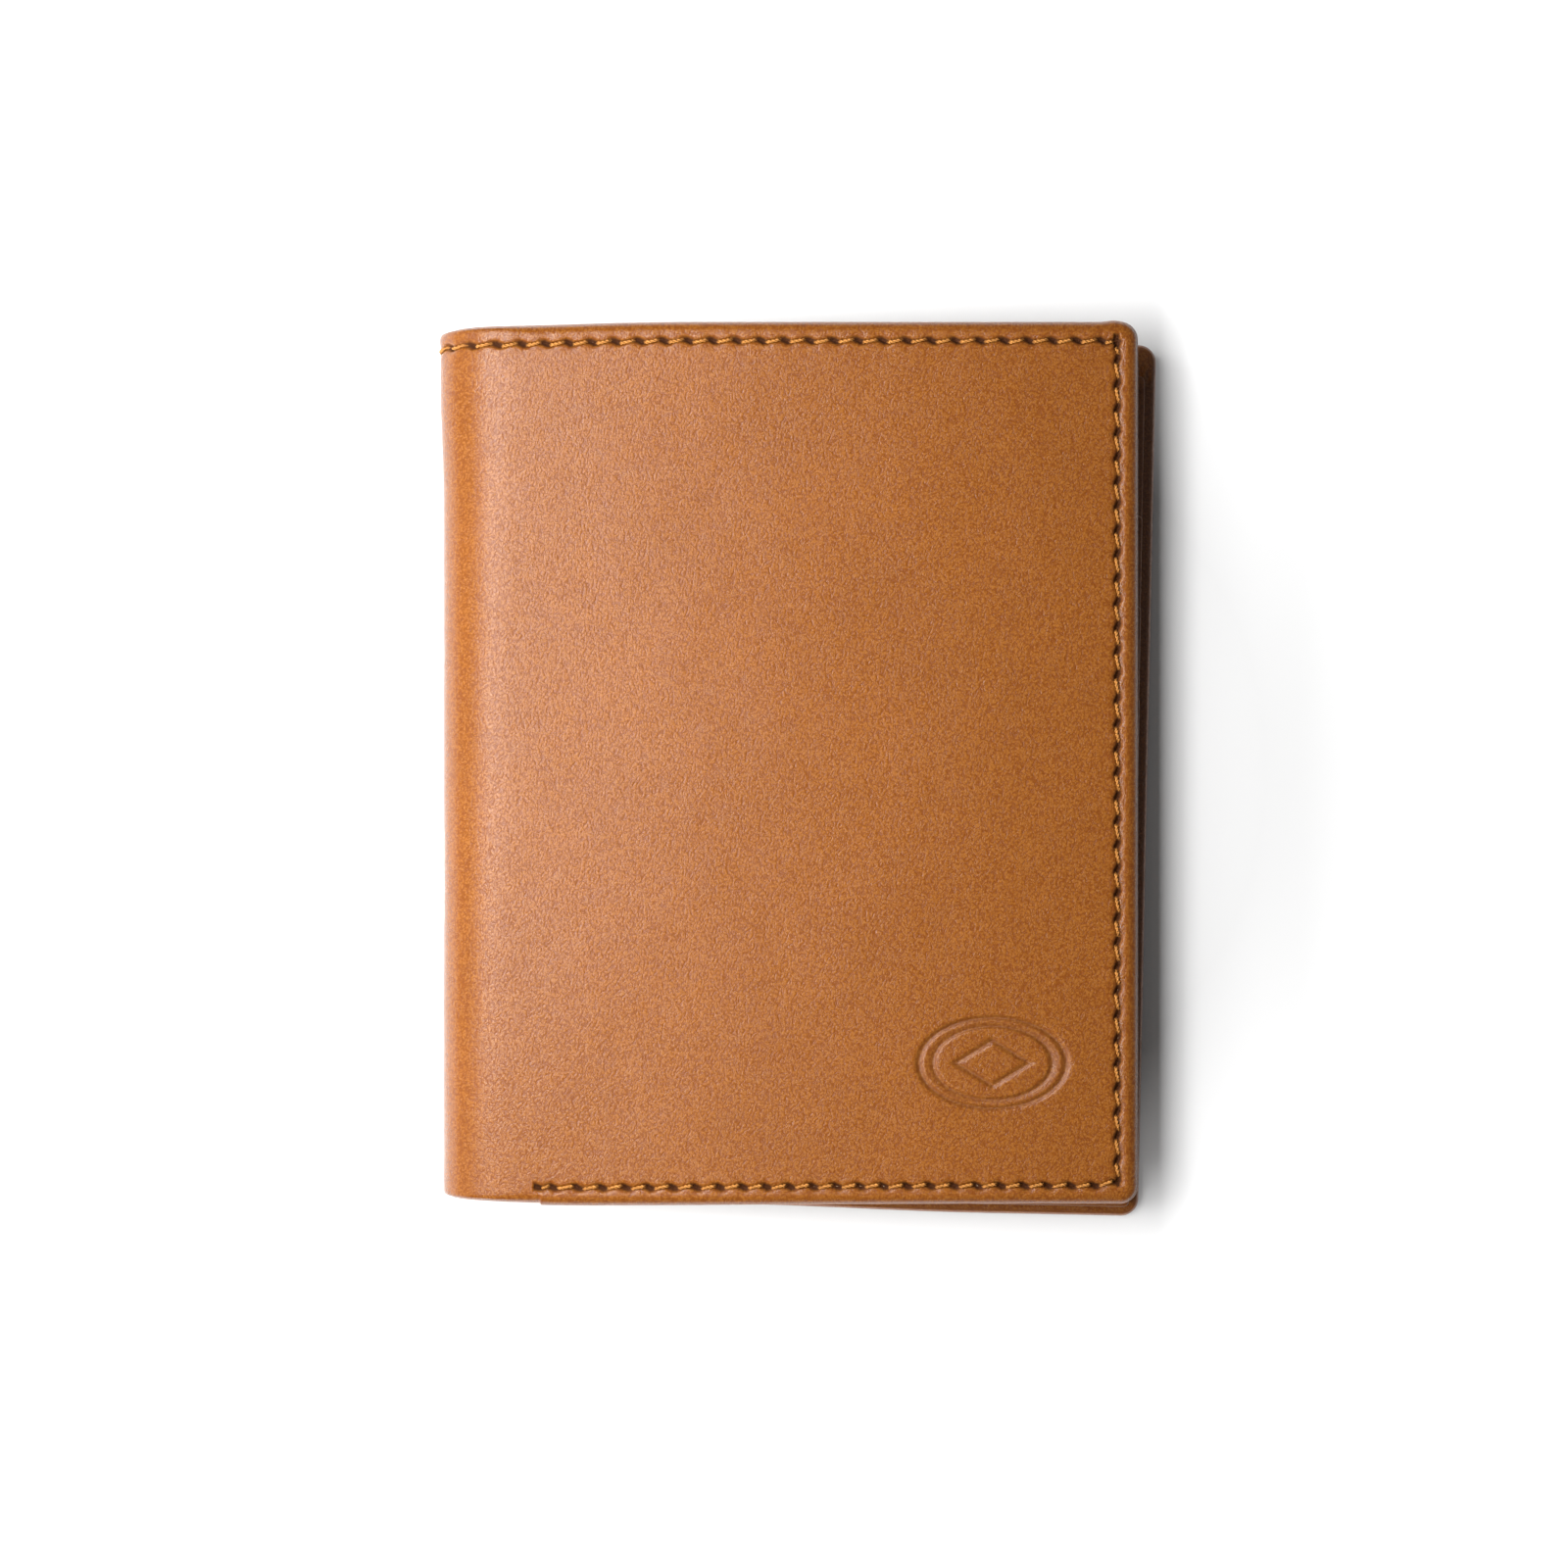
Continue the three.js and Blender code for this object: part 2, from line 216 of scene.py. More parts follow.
BASE_CELL = 2.4
LEVELS = 4
FINE, FINER, FINEST = BASE_CELL / 2, BASE_CELL / 4, BASE_CELL / 2**LEVELS
HALF_DIAGONAL = 0.71


def adaptive_splits(width, height, size_at, border):
    """Which cells are divided in four at each level. No two neighbours differ by more than one level."""
    nx, ny = (max(1, round(side / BASE_CELL)) for side in (width, height))
    splits = []
    for level in range(LEVELS):
        n, m = nx << level, ny << level
        u, v = np.meshgrid((np.arange(n) + 0.5) / n, (np.arange(m) + 0.5) / m, indexing="ij")
        cell = BASE_CELL / 2**level
        split = size_at(u, v, cell * HALF_DIAGONAL) < 0.99 * cell
        if border is not None:
            rim = np.ones((n, m), bool)
            rim[1:-1, 1:-1] = False
            split[rim] = border[level][rim]
        splits.append(split)
    for level in range(LEVELS - 1, 0, -1):
        wide = splits[level].copy()
        wide[1:] |= splits[level][:-1]
        wide[:-1] |= splits[level][1:]
        near = wide.copy()
        near[:, 1:] |= wide[:, :-1]
        near[:, :-1] |= wide[:, 1:]
        n, m = near.shape
        splits[level - 1] |= near.reshape(n // 2, 2, m // 2, 2).any(axis=(1, 3))
    return splits


def adaptive_grid(splits):
    """The grid's points as fractions of its sides, its faces, and its border in order."""
    nx, ny = splits[0].shape
    finest = 1 << LEVELS
    rows = ny * finest + 1
    quads, fans = [], []
    exists = np.ones((nx, ny), bool)
    for level in range(LEVELS + 1):
        step = finest >> level
        split = splits[level] if level < LEVELS else np.zeros_like(exists)
        around = np.pad(split, 1)
        below, above = around[1:-1, :-2], around[1:-1, 2:]
        left, right = around[:-2, 1:-1], around[2:, 1:-1]
        leaf = exists & ~split
        hanging = leaf & (below | above | left | right)
        i, j = (a * step for a in np.nonzero(leaf & ~hanging))
        corners = [(i, j), (i + step, j), (i + step, j + step), (i, j + step)]
        quads.append(np.stack([a * rows + b for a, b in corners], axis=1))
        half = step // 2
        for a, b in zip(*np.nonzero(hanging)):
            i, j = a * step, b * step
            ring = [(i, j)] + [(i + half, j)] * below[a, b]
            ring += [(i + step, j)] + [(i + step, j + half)] * right[a, b]
            ring += [(i + step, j + step)] + [(i + half, j + step)] * above[a, b]
            ring += [(i, j + step)] + [(i, j + half)] * left[a, b]
            keys = [p * rows + q for p, q in ring]
            middle = (i + half) * rows + j + half
            fans += [(middle, keys[k], keys[(k + 1) % len(keys)]) for k in range(len(keys))]
        exists = np.repeat(np.repeat(split, 2, 0), 2, 1)
    quads, fans = np.concatenate(quads), np.array(fans, int).reshape(-1, 3)
    keys, index = np.unique(np.concatenate([quads.ravel(), fans.ravel()]), return_inverse=True)
    faces = index[: quads.size].reshape(-1, 4).tolist() + index[quads.size :].reshape(-1, 3).tolist()
    i, j = keys // rows, keys % rows
    last_i, last_j = nx * finest, ny * finest
    sides = [
        sorted(np.nonzero(j == 0)[0], key=lambda k: i[k]),
        sorted(np.nonzero(i == last_i)[0], key=lambda k: j[k]),
        sorted(np.nonzero(j == last_j)[0], key=lambda k: -i[k]),
        sorted(np.nonzero(i == 0)[0], key=lambda k: -j[k]),
    ]
    border = np.concatenate([side[:-1] for side in sides])
    return i / last_i, j / last_j, faces, border


# ---------- sheets ----------

UV_MM = 100  # one unit of a sheet's UV map is this many millimetres
INSIDE_UV = (3, 1)  # the inner face lies apart from the outer one on the UV map


class Outline:
    """The flat outline of a sheet. Its t ends are free edges, and its s ends are where free says so."""

    def __init__(self, s_span, t_span, corner, free=(True, True)):
        self.s, self.t, self.corner, self.free = s_span, t_span, corner, free
        self.width, self.height = s_span[1] - s_span[0], t_span[1] - t_span[0]

    def points(self, u, v, inset):
        """Points at fractions of the outline drawn in by inset, with its free corners rounded."""
        ends = [self.s[0] + inset * self.free[0], self.s[1] - inset * self.free[1]]
        sides = [self.t[0] + inset, self.t[1] - inset]
        s = ends[0] + (ends[1] - ends[0]) * u
        t = sides[0] + (sides[1] - sides[0]) * v
        corner = max(self.corner - inset, 0.02)
        for end, out, is_free in zip(ends, (-1, 1), self.free):
            for side, up in zip(sides, (-1, 1)):
                if not is_free:
                    continue
                a = out * (s - end) / corner + 1
                b = up * (t - side) / corner + 1
                reach = np.maximum(np.hypot(a, b), 1e-9)
                scale = np.where((a > 0) & (b > 0), np.maximum(a, b) / reach, 1)
                s = np.where(scale < 1, end + out * corner * (a * scale - 1), s)
                t = np.where(scale < 1, side + up * corner * (b * scale - 1), t)
        return s, t

    def inset(self, s, t):
        """How far inside the outline points lie."""
        far = np.full(np.shape(s), -1e3)
        a = np.maximum(self.s[0] - s if self.free[0] else far, s - self.s[1] if self.free[1] else far)
        b = np.maximum(self.t[0] - t, t - self.t[1])
        a, b = a + self.corner, b + self.corner
        return self.corner - np.hypot(a.clip(0), b.clip(0)) - np.minimum(np.maximum(a, b), 0)


def mesh_object(name, points, faces, uvs, flat=(), channels=None):
    mesh = bpy.data.meshes.new(name)
    mesh.from_pydata(points.tolist(), [], faces)
    layer = mesh.uv_layers.new(name="flat")
    layer.data.foreach_set("uv", np.asarray(uvs, np.float32).ravel())
    shade = np.ones(len(faces), bool)
    shade[list(flat)] = False
    mesh.polygons.foreach_set("use_smooth", shade)
    creased = {key for index in flat for key in mesh.polygons[index].edge_keys}
    sharp = [edge.key in creased for edge in mesh.edges]
    mesh.attributes.new("sharp_edge", "BOOLEAN", "EDGE").data.foreach_set("value", sharp)
    for channel, values in (channels or {}).items():
        mesh.attributes.new(channel, "FLOAT", "POINT").data.foreach_set("value", values.astype(np.float32))
    mesh.validate()
    mesh.update()
    obj = bpy.data.objects.new(name, mesh)
    bpy.context.scene.collection.objects.link(obj)
    return obj


def sheet_piece(name, outline, outer, inner, rim, size_at, inner_size_at):
    """A closed sheet. outer and inner give each face's depth and looks from (s, t, inset). rim is the edge in
    section from the outer face to the inner one, as (inset, share of the thickness) pairs, ends included."""

    def wanted(sizes, start):
        def at(u, v, reach):
            s, t = outline.points(u, v, start)
            return sizes(s, t, outline.inset(s, t), reach)

        return at

    border_splits = adaptive_splits(outline.width, outline.height, wanted(size_at, rim[0][0]), None)
    inner_sizes = wanted(inner_size_at, rim[-1][0])
    inner_splits = adaptive_splits(outline.width, outline.height, inner_sizes, border_splits)
    u, v, outer_faces, outer_border = adaptive_grid(border_splits)
    p, q, inner_faces, inner_border = adaptive_grid(inner_splits)
    assert len(outer_border) == len(inner_border), name

    s, t = outline.points(u, v, rim[0][0])
    depth, looks = outer(s, t, outline.inset(s, t))
    si, ti = outline.points(p, q, rim[-1][0])
    inner_depth, inner_looks = inner(si, ti, outline.inset(si, ti))
    points, flat_points = [place(s, t, depth)], [np.stack([s, t], 1)]
    # mesh colour channels: painted shade in holes and creases; the lip's dust and painted highlight
    channels = {key: [looks.get(key, np.zeros(len(s)))] for key in ("cavity", "lip_dust_and_highlight")}
    ub, vb = u[outer_border], v[outer_border]
    rings, count, unrolled = [outer_border], len(s), rim[0][0]
    for before, (inset, share) in zip(rim, rim[1:-1]):
        thickness = inner_depth[inner_border] - depth[outer_border]
        unrolled -= math.hypot(inset - before[0], (share - before[1]) * float(np.median(thickness)))
        sr, tr = outline.points(ub, vb, inset)
        points.append(place(sr, tr, depth[outer_border] + share * thickness))
        flat_points.append(np.stack(outline.points(ub, vb, unrolled), 1))
        channels["cavity"].append(np.zeros(len(sr)))
        # the rim's outward part takes the lip's dust and painted highlight
        channels["lip_dust_and_highlight"].append(np.full(len(sr), float(inset < 0)))
        rings.append(np.arange(count, count + len(sr)))
        count += len(sr)
    points.append(place(si, ti, inner_depth))
    flat_points.append(np.stack([si, ti], 1))
    for key in channels:
        channels[key].append(inner_looks.get(key, np.zeros(len(si))))
    rings.append(inner_border + count)

    faces = [face[::-1] for face in outer_faces]
    flat = []
    for ring, following in zip(rings, rings[1:]):
        for k in range(len(ring)):
            n = (k + 1) % len(ring)
            if any(ub[k] == ub[n] == end and not free for end, free in enumerate(outline.free)):
                flat.append(len(faces))
            faces.append([ring[k], ring[n], following[n], following[k]])
    inside_from = len(faces)
    faces += [[index + count for index in face] for face in inner_faces]
    flat_points = np.concatenate(flat_points)
    corners = np.array([index for face in faces for index in face])
    uvs = flat_points[corners] / UV_MM
    inside = sum(len(face) for face in faces[:inside_from])
    uvs[inside:] += INSIDE_UV
    channels = {key: np.concatenate(values) for key, values in channels.items()}
    return mesh_object(name, np.concatenate(points), faces, uvs, flat, channels)


# ---------- sewing ----------


def stepped(start, end, first, pitch):
    """Places from start to end, the first step short, the rest one pitch, and the last what is left."""
    way = 1 if end > start else -1
    count = int((abs(end - start) - first) / pitch - 0.25)
    return [start] + [start + way * (first + pitch * k) for k in range(count + 1)] + [end]


def seam_holes():
    """The holes of the whole outer seam, in sewing order: the edge of the hide is always on the right."""
    front_end, back_end = -FRONT_LENGTH, ARC + BACK_LENGTH
    top, foot = TOP - TOP_ROW, BOTTOM + BOTTOM_ROW
    high, low = TOP - ROW_CORNER, BOTTOM + ROW_CORNER
    back_side, front_side = back_end - SIDE_ROW, front_end + SIDE_ROW
    back_foot = stepped(back_side, ARC + SEAM_START, BOTTOM_FIRST, BOTTOM_PITCH)[::-1][:-1]
    heights = stepped(high, low, SIDE_FIRST, SIDE_PITCH)
    across = stepped(front_side, back_side, TOP_FIRST, TOP_PITCH)[::-1][1:-1]
    front_foot = stepped(front_side, -SEAM_START, BOTTOM_FIRST, BOTTOM_PITCH)[1:]
    holes = [(s, foot) for s in back_foot] + [(back_side, t) for t in heights[::-1]]
    holes += [(s, top) for s in across] + [(front_side, t) for t in heights]
    holes += [(s, foot) for s in front_foot]
    return np.array(holes)


SEAM = seam_holes()
FAR_SIDE = 99.0
ROW_END = 0.6  # how far past its last hole a row still draws the leather in
POINTS_AT_ONCE = 20000


def along_row(s, t, holes, reach=3.6):
    """For each point: how far along its nearest stitch it lies, as a fraction, that stitch's length, and the
    distance to the right of the row, which is FAR_SIDE where no stitch is near."""
    start, step = holes[:-1], np.diff(holes, axis=0)
    length = np.hypot(*step.T)
    way = step / length[:, None]
    fraction, side = np.zeros(len(s)), np.full(len(s), FAR_SIDE)
    pitch = np.ones(len(s))
    low, high = holes.min(0) - reach, holes.max(0) + reach
    near = np.nonzero((s > low[0]) & (s < high[0]) & (t > low[1]) & (t < high[1]))[0]
    for block in np.array_split(near, max(1, len(near) // POINTS_AT_ONCE)):
        ds, dt = s[block, None] - start[:, 0], t[block, None] - start[:, 1]
        a = ds * way[:, 0] + dt * way[:, 1]
        b = ds * way[:, 1] - dt * way[:, 0]
        over = np.maximum(-a, a - length).clip(0)
        best = np.argmin(np.hypot(over, b), axis=1)
        rows = np.arange(len(block))
        fraction[block] = (a[rows, best] / length[best]).clip(-0.3, 1.3)
        gap = over[rows, best]
        side[block] = np.where(gap > ROW_END, FAR_SIDE, b[rows, best])
        pitch[block] = length[best]
    return fraction, pitch, side


# how a row draws the leather in
TRENCH_DEPTH, TRENCH_WIDTH = 0.24, 0.33
# painted shade in the trench under the thread, and its width
TRENCH_SHADE, TRENCH_SHADE_WIDTH = 0.4, 0.26
SLANT_CENTRE = 1.1
# the last number is the painted shade in the stitch pits
PIT_SIDE, PIT_DEPTH, PIT_SHADE = 0.06, 0.75, 1.9
PIT_WAY = (0.93, 0.37)
PIT_LENGTH, PIT_WIDTH = 0.78, 0.36
DIMPLE_DEPTH, DIMPLE_WIDTH = 0.1, 0.9
EDGE_PUFF, EDGE_PUFF_START, EDGE_PUFF_WIDTH = 0.09, 0.15, 2.5
PUFF_ARCH = 0.3
INNER_PUFF, INNER_PUFF_AT, INNER_PUFF_WIDTH = 0.02, 0.95, 0.6


def stitch_relief(s, t, holes):
    """How the thread pulls the leather in: height, and how much painted shade each point gets."""
    fraction, pitch, side = along_row(s, t, holes)
    inside = fraction.clip(0, 1)
    arch = np.sin(math.pi * inside) ** 2
    thread = side - SLANT * (2 * inside - SLANT_CENTRE) - THREAD_SIDE
    height = -TRENCH_DEPTH * bell(thread, TRENCH_WIDTH)
    cavity = TRENCH_SHADE * bell(thread, TRENCH_SHADE_WIDTH)
    for offset in (fraction * pitch, (fraction - 1) * pitch):
        over = side - PIT_SIDE
        lengthwise = PIT_WAY[0] * offset - PIT_WAY[1] * over
        crosswise = PIT_WAY[1] * offset + PIT_WAY[0] * over
        pit = bell(lengthwise, PIT_LENGTH) * bell(crosswise, PIT_WIDTH)
        height -= PIT_DEPTH * pit + DIMPLE_DEPTH * bell(np.hypot(offset, side), DIMPLE_WIDTH)
        cavity += PIT_SHADE * pit
    puff = np.sin(math.pi * ((side - EDGE_PUFF_START) / EDGE_PUFF_WIDTH).clip(0, 1)) ** 2
    height += EDGE_PUFF * puff * (1 - PUFF_ARCH + PUFF_ARCH * arch)
    height += INNER_PUFF * bell(side + INNER_PUFF_AT, INNER_PUFF_WIDTH) * arch
    return height, cavity.clip(0, 1)


# two-ply thread
PLY_SHARE, ORBIT_SHARE = 0.3, 0.23  # a ply's radius, and its distance from the thread's middle
TWIST_LENGTH = 1.15
BURIED_START, BURIED_END = 0.35, 0.45
RISE_LENGTH, FALL_LENGTH = 0.6, 0.8
SWAY_BEND, SWAY_WANDER = 2.2, 0.04
TIP_WIDTH, TIP_TAPER = 0.35, 4
FIRST_WIDTH, WIDTH_LOSS = 1.25, 0.55


def stitches(name, holes, surface, lift=0.05, width=0.48, dive=1.25, sides=8, steps=22, flip=1):
    """A row of two-ply stitches. surface gives the leather's depth, and flip is -1 on inner faces."""
    points, faces, uvs = [], [], []
    count = 0
    ply, orbit = width * PLY_SHARE, width * ORBIT_SHARE
    for number, (start, end) in enumerate(zip(holes[:-1], holes[1:])):
        step = end - start
        length = math.hypot(*step)
        way = step / length
        right = np.array([way[1], -way[0]]) * flip
        f = np.linspace(0, 1, steps)
        sway = SLANT * np.tanh((2 * f - SLANT_CENTRE) * SWAY_BEND) + THREAD_SIDE
        sway = sway + SWAY_WANDER * math.sin(number * 2.4)
        rise = (f * length - BURIED_START) / RISE_LENGTH
        fall = ((1 - f) * length - BURIED_END) / FALL_LENGTH
        rise = np.minimum(rise, fall).clip(0, 1)
        height = -dive + (dive + lift) * np.sin(rise * math.pi / 2)
        middle = start + f[:, None] * step + sway[:, None] * right
        for strand in (0, math.pi):
            twist = strand + f * length / TWIST_LENGTH * 2 * math.pi + number * 1.3
            off, up = orbit * np.cos(twist), orbit * np.sin(twist)
            around = np.linspace(0, 2 * math.pi, sides, endpoint=False)
            taper = np.sqrt(np.minimum(1, TIP_WIDTH + TIP_TAPER * np.minimum(f, 1 - f)))
            taper = taper * (FIRST_WIDTH - WIDTH_LOSS * f)
            lateral = off[:, None] + ply * taper[:, None] * np.cos(around)
            vertical = (height + up)[:, None] + ply * taper[:, None] * np.sin(around)
            s = middle[:, :1] + lateral * right[0]
            t = middle[:, 1:] + lateral * right[1]
            level = surface(middle[:, 0], middle[:, 1])[:, None]
            first = count
            points.append(place(s, t, level - flip * vertical).reshape(-1, 3))
            count += steps * sides
            for i in range(steps - 1):
                for k in range(sides):
                    n = (k + 1) % sides
                    face = [first + i * sides + k, first + i * sides + n]
                    face += [first + (i + 1) * sides + n, first + (i + 1) * sides + k]
                    faces.append(face)
                    uvs += [(f[i], k / sides), (f[i], (k + 1) / sides)]
                    uvs += [(f[i + 1], (k + 1) / sides), (f[i + 1], k / sides)]
            for i in (0, steps - 1):
                cap = [first + i * sides + k for k in range(sides)]
                faces.append(cap[::-1] if i == 0 else cap)
                uvs += [(0, 0)] * sides
    return mesh_object(name, np.concatenate(points), faces, uvs)


# ---------- the leather shell ----------

THIRD = RADIUS * BEND
EMBLEM_AT = (-70.8, -42.5)
EMBLEM_HALF = (10.4, 6.4)
# the second number is the painted shade in the pressed mark's lines
EMBLEM_DEPTH, EMBLEM_SHADE = 0.3, 0.3
OVAL_LINE, INNER_OVAL_AT, INNER_OVAL_LINE = 0.3, 1.25, 0.22
BETWEEN_OVALS = 0.45
AWL_HOLE_AT, AWL_HOLE_HALF, AWL_HOLE_DEPTH = (2.85, 2.0), 0.52, 0.7
SPINE_ROLL = 0.5
SEWN_BAND = 5.8
EDGE_CALM, EDGE_FADE = 0.15, 0.7
CREASES, CREASE_DEPTH, CREASE_REACH = 17, 0.012, 2.6
UNDULATIONS = ((0.06, 14, 17, 1), (0.025, 4.5, 5, 2), (0.012, 1.3, 1.3, 3))
PLEATS, PLEAT_DEPTH, PLEAT_AT, PLEAT_REACH = 22, 0.07, 4.2, 2.6
# the last number is how much of the seam's painted shade shows on the hem
HEM_RELIEF, HEM_STEP, HEM_SHADE = 0.45, 0.35, 0.7
HEM_OVERLAP = 0.05


def rolled(inset, s):
    """Depth of the outer face where it rolls over the edge, more tightly on the spine."""
    tight = 1 - SPINE_ROLL * in_spine(s, 6)
    reach = ROLL_REACH * tight
    return ROLL_DROP * tight * (1 - np.sqrt(1 - ((reach - inset) / reach).clip(0, 1) ** 2))


def corner_hole(s, t):
    """The awl hole inside the front cover's upper corner, where the seam turns."""
    from_hole = np.maximum(np.abs(s + FRONT_LENGTH - AWL_HOLE_AT[0]), np.abs(t - TOP + AWL_HOLE_AT[1]))
    return smooth((AWL_HOLE_HALF - from_hole) / 0.3)


def emblem(s, t):
    """A pressed double oval round a lozenge: how deep, from 0 to 1."""
    a, b = (s - EMBLEM_AT[0]) / EMBLEM_HALF[0], (t - EMBLEM_AT[1]) / EMBLEM_HALF[1]
    out = (np.hypot(a, b) - 1) * EMBLEM_HALF[1]
    lozenge = np.abs(a) * 2 + np.abs(b) * 2
    lines = bell(out, OVAL_LINE) + 0.8 * bell(out + INNER_OVAL_AT, INNER_OVAL_LINE)
    lines = lines + 0.9 * bell((lozenge - 1) * 2.2, OVAL_LINE)
    return lines.clip(0, 1) + BETWEEN_OVALS * smooth((-out - 0.2) / 0.8) * smooth((out + 1.4) / 0.5)


def sewn_relief(s, t, inset):
    """stitch_relief() of the outer seam, worked out only near the edge."""
    height, cavity = np.zeros(len(s)), np.zeros(len(s))
    band = np.nonzero(inset < SEWN_BAND)[0]
    height[band], cavity[band] = stitch_relief(s[band], t[band], SEAM)
    return height, cavity


def start_creases(s, t):
    """Fine creases that run out from the first stitch of the bottom seam."""
    across, along = s + SEAM_START, t - BOTTOM - BOTTOM_ROW
    start = np.hypot(across, along * 0.7)
    wave = np.sin(np.arctan2(along, across) * CREASES + 2 * noise(s / 3, t / 3, 4))
    return CREASE_DEPTH * wave * bell(start - CREASE_REACH, CREASE_REACH) * smooth(start / 1.2)


def outer_face(s, t, inset):
    """The grain side of the hide: sewing, the awl hole, the pressed mark and gentle undulations. The seam's
    holes and trench, the awl hole and the pressed mark get painted shade.
    """
    height, cavity = sewn_relief(s, t, inset)
    height *= smooth((inset - EDGE_CALM) / EDGE_FADE)
    hole = corner_hole(s, t)
    height -= AWL_HOLE_DEPTH * hole
    # painted shade in the awl hole
    cavity += hole
    press = emblem(s, t)
    height -= EMBLEM_DEPTH * press
    # painted shade in the pressed mark's lines
    cavity += EMBLEM_SHADE * press.clip(0, 1)
    height += start_creases(s, t)
    for size, wide, long, seed in UNDULATIONS:
        height += size * noise(s / wide, t / long, seed)
    return rolled(inset, s) - height, {"cavity": cavity.clip(0, 1)}


def hem_face(s, t, inset):
    """The inner face of a cover: the hide turned in round the edge, then the bare hide the lining covers."""
    ends = [-FRONT_LENGTH, ARC + BACK_LENGTH]
    fan = np.zeros(len(s))
    for end in ends:
        for side in (BOTTOM, TOP):
            across, along = np.abs(s - end), np.abs(t - side)
            near = bell(np.hypot(across, along) - PLEAT_AT, PLEAT_REACH) * smooth(np.hypot(across, along) / 2)
            fan += near * np.sin(np.arctan2(along, across) * PLEATS)
    height, cavity = sewn_relief(s, t, inset)
    height = HEM_RELIEF * height + PLEAT_DEPTH * fan + 0.03 * noise(s / 5, t / 5, 6)
    hem = smooth((HEM_WIDTH - inset) / HEM_STEP)
    depth = HIDE - HEM_OVERLAP + (HEM_BACK - HIDE + HEM_OVERLAP) * hem + height * hem
    # painted shade in the hem's stitch holes and trench
    return depth, {"cavity": cavity * HEM_SHADE}


def spread(s, flat_size, reach):
    """Cell sizes of a sheet: flat_size on the covers, and finer round the spine."""
    size = np.full(s.shape, flat_size)
    size[(s > -3 - reach) & (s < ARC + 3 + reach)] = FINER
    return size


def shell_sizes(s, t, inset, reach):
    size = spread(s, FINE, reach)
    pulled = np.hypot(s + SEAM_START, t - BOTTOM - BOTTOM_ROW) < 6 + reach
    size[(inset < 4.6 + reach) | pulled] = FINER / 2
    sewn = np.abs(inset - MIDDLE_ROW) < 0.85 + reach
    unsewn = (t < 0) & (s > 1 - SEAM_START) & (s < ARC + SEAM_START - 1)
    size[sewn & ~unsewn] = FINEST
    from_cut = np.minimum(np.abs(s - THIRD), np.abs(s - 2 * THIRD))
    size[from_cut < 0.2 + reach] = FINEST
    from_notch = np.minimum(np.abs(s + NOTCH_AT), np.abs(s - ARC - NOTCH_AT))
    size[(from_notch < 0.4 + reach) & (t < BOTTOM + 2.5)] = FINEST
    across = (s - EMBLEM_AT[0]) / (EMBLEM_HALF[0] + 1 + reach)
    along = (t - EMBLEM_AT[1]) / (EMBLEM_HALF[1] + 1 + reach)
    size[np.hypot(across, along) < 1] = FINEST
    return size


def hem_sizes(s, t, inset, reach):
    size = spread(s, BASE_CELL, reach)
    size[inset < HEM_WIDTH + 0.4 + reach] = FINER
    size[np.abs(inset - MIDDLE_ROW) < 0.9 + reach] = FINER / 2
    size[np.abs(inset - HEM_WIDTH + 0.2) < 0.3 + reach] = FINER / 2
    return size


def edge_section():
    """The turned edge: the roll, a crease under it, and the proud lip of the hem."""
    start = ROLL_DROP * (1 - math.cos(ROLL_START))
    angles = (ROLL_START, math.radians(68), math.radians(80), math.radians(90))
    section = [(ROLL_REACH * (1 - math.sin(a)), ROLL_DROP * (1 - math.cos(a))) for a in angles]
    section += [(0.07, 1.15), (0.09, 1.2), (-0.12, 1.27), (-0.19, 1.42), (-0.16, 1.62), (-0.02, 1.86)]
    section += [(0.2, 2.0), (0.45, HEM_BACK)]
    return [(inset, (depth - start) / (HEM_BACK - start)) for inset, depth in section]


def thirds(name, s_span, t_span, corner, build):
    """Cuts a sheet that goes round the spine into one piece for each hinge."""
    cuts = [s_span[0], THIRD, 2 * THIRD, s_span[1]]
    free = [(True, False), (False, False), (False, True)]
    outlines = [Outline(cuts[k : k + 2], t_span, corner, free[k]) for k in range(3)]
    return [build(f"{name}_{end}", outline) for end, outline in zip(("front", "middle", "back"), outlines)]


def shell_piece(name, outline):
    return sheet_piece(name, outline, outer_face, hem_face, edge_section(), shell_sizes, hem_sizes)


shell = thirds("shell", (-FRONT_LENGTH, ARC + BACK_LENGTH), (BOTTOM, TOP), CORNER, shell_piece)

# ---------- linings and the inner leaf ----------


def plain_sheet(depths, waves):
    """A sheet between two depths that follows the same gentle waves on both faces."""

    def face(level):
        def at(s, t, inset):
            return level + waves * noise(s / 9, t / 11, 8) + waves * 0.4 * noise(s / 3, t / 3, 9), {}

        return at

    return face(depths[0]), face(depths[1])


def cloth_sizes(s, t, inset, reach):
    return spread(s, FINE, reach)


CLOTH_RIM = [(0.02, 0), (0, 0.5), (0.02, 1)]
CLOTH_WAVES = 0.012
LINING_INSET = HEM_WIDTH - 0.6


def lining_piece(name, outline, depths=LINING):
    return sheet_piece(name, outline, *plain_sheet(depths, CLOTH_WAVES), CLOTH_RIM, cloth_sizes, cloth_sizes)


def span(inset):
    """From the front cover's free end to the back cover's, less inset at each."""
    return (-FRONT_LENGTH + inset, ARC + BACK_LENGTH - inset)


lining = thirds("lining", span(LINING_INSET), (BOTTOM + LINING_INSET, TOP - LINING_INSET), 0.3, lining_piece)

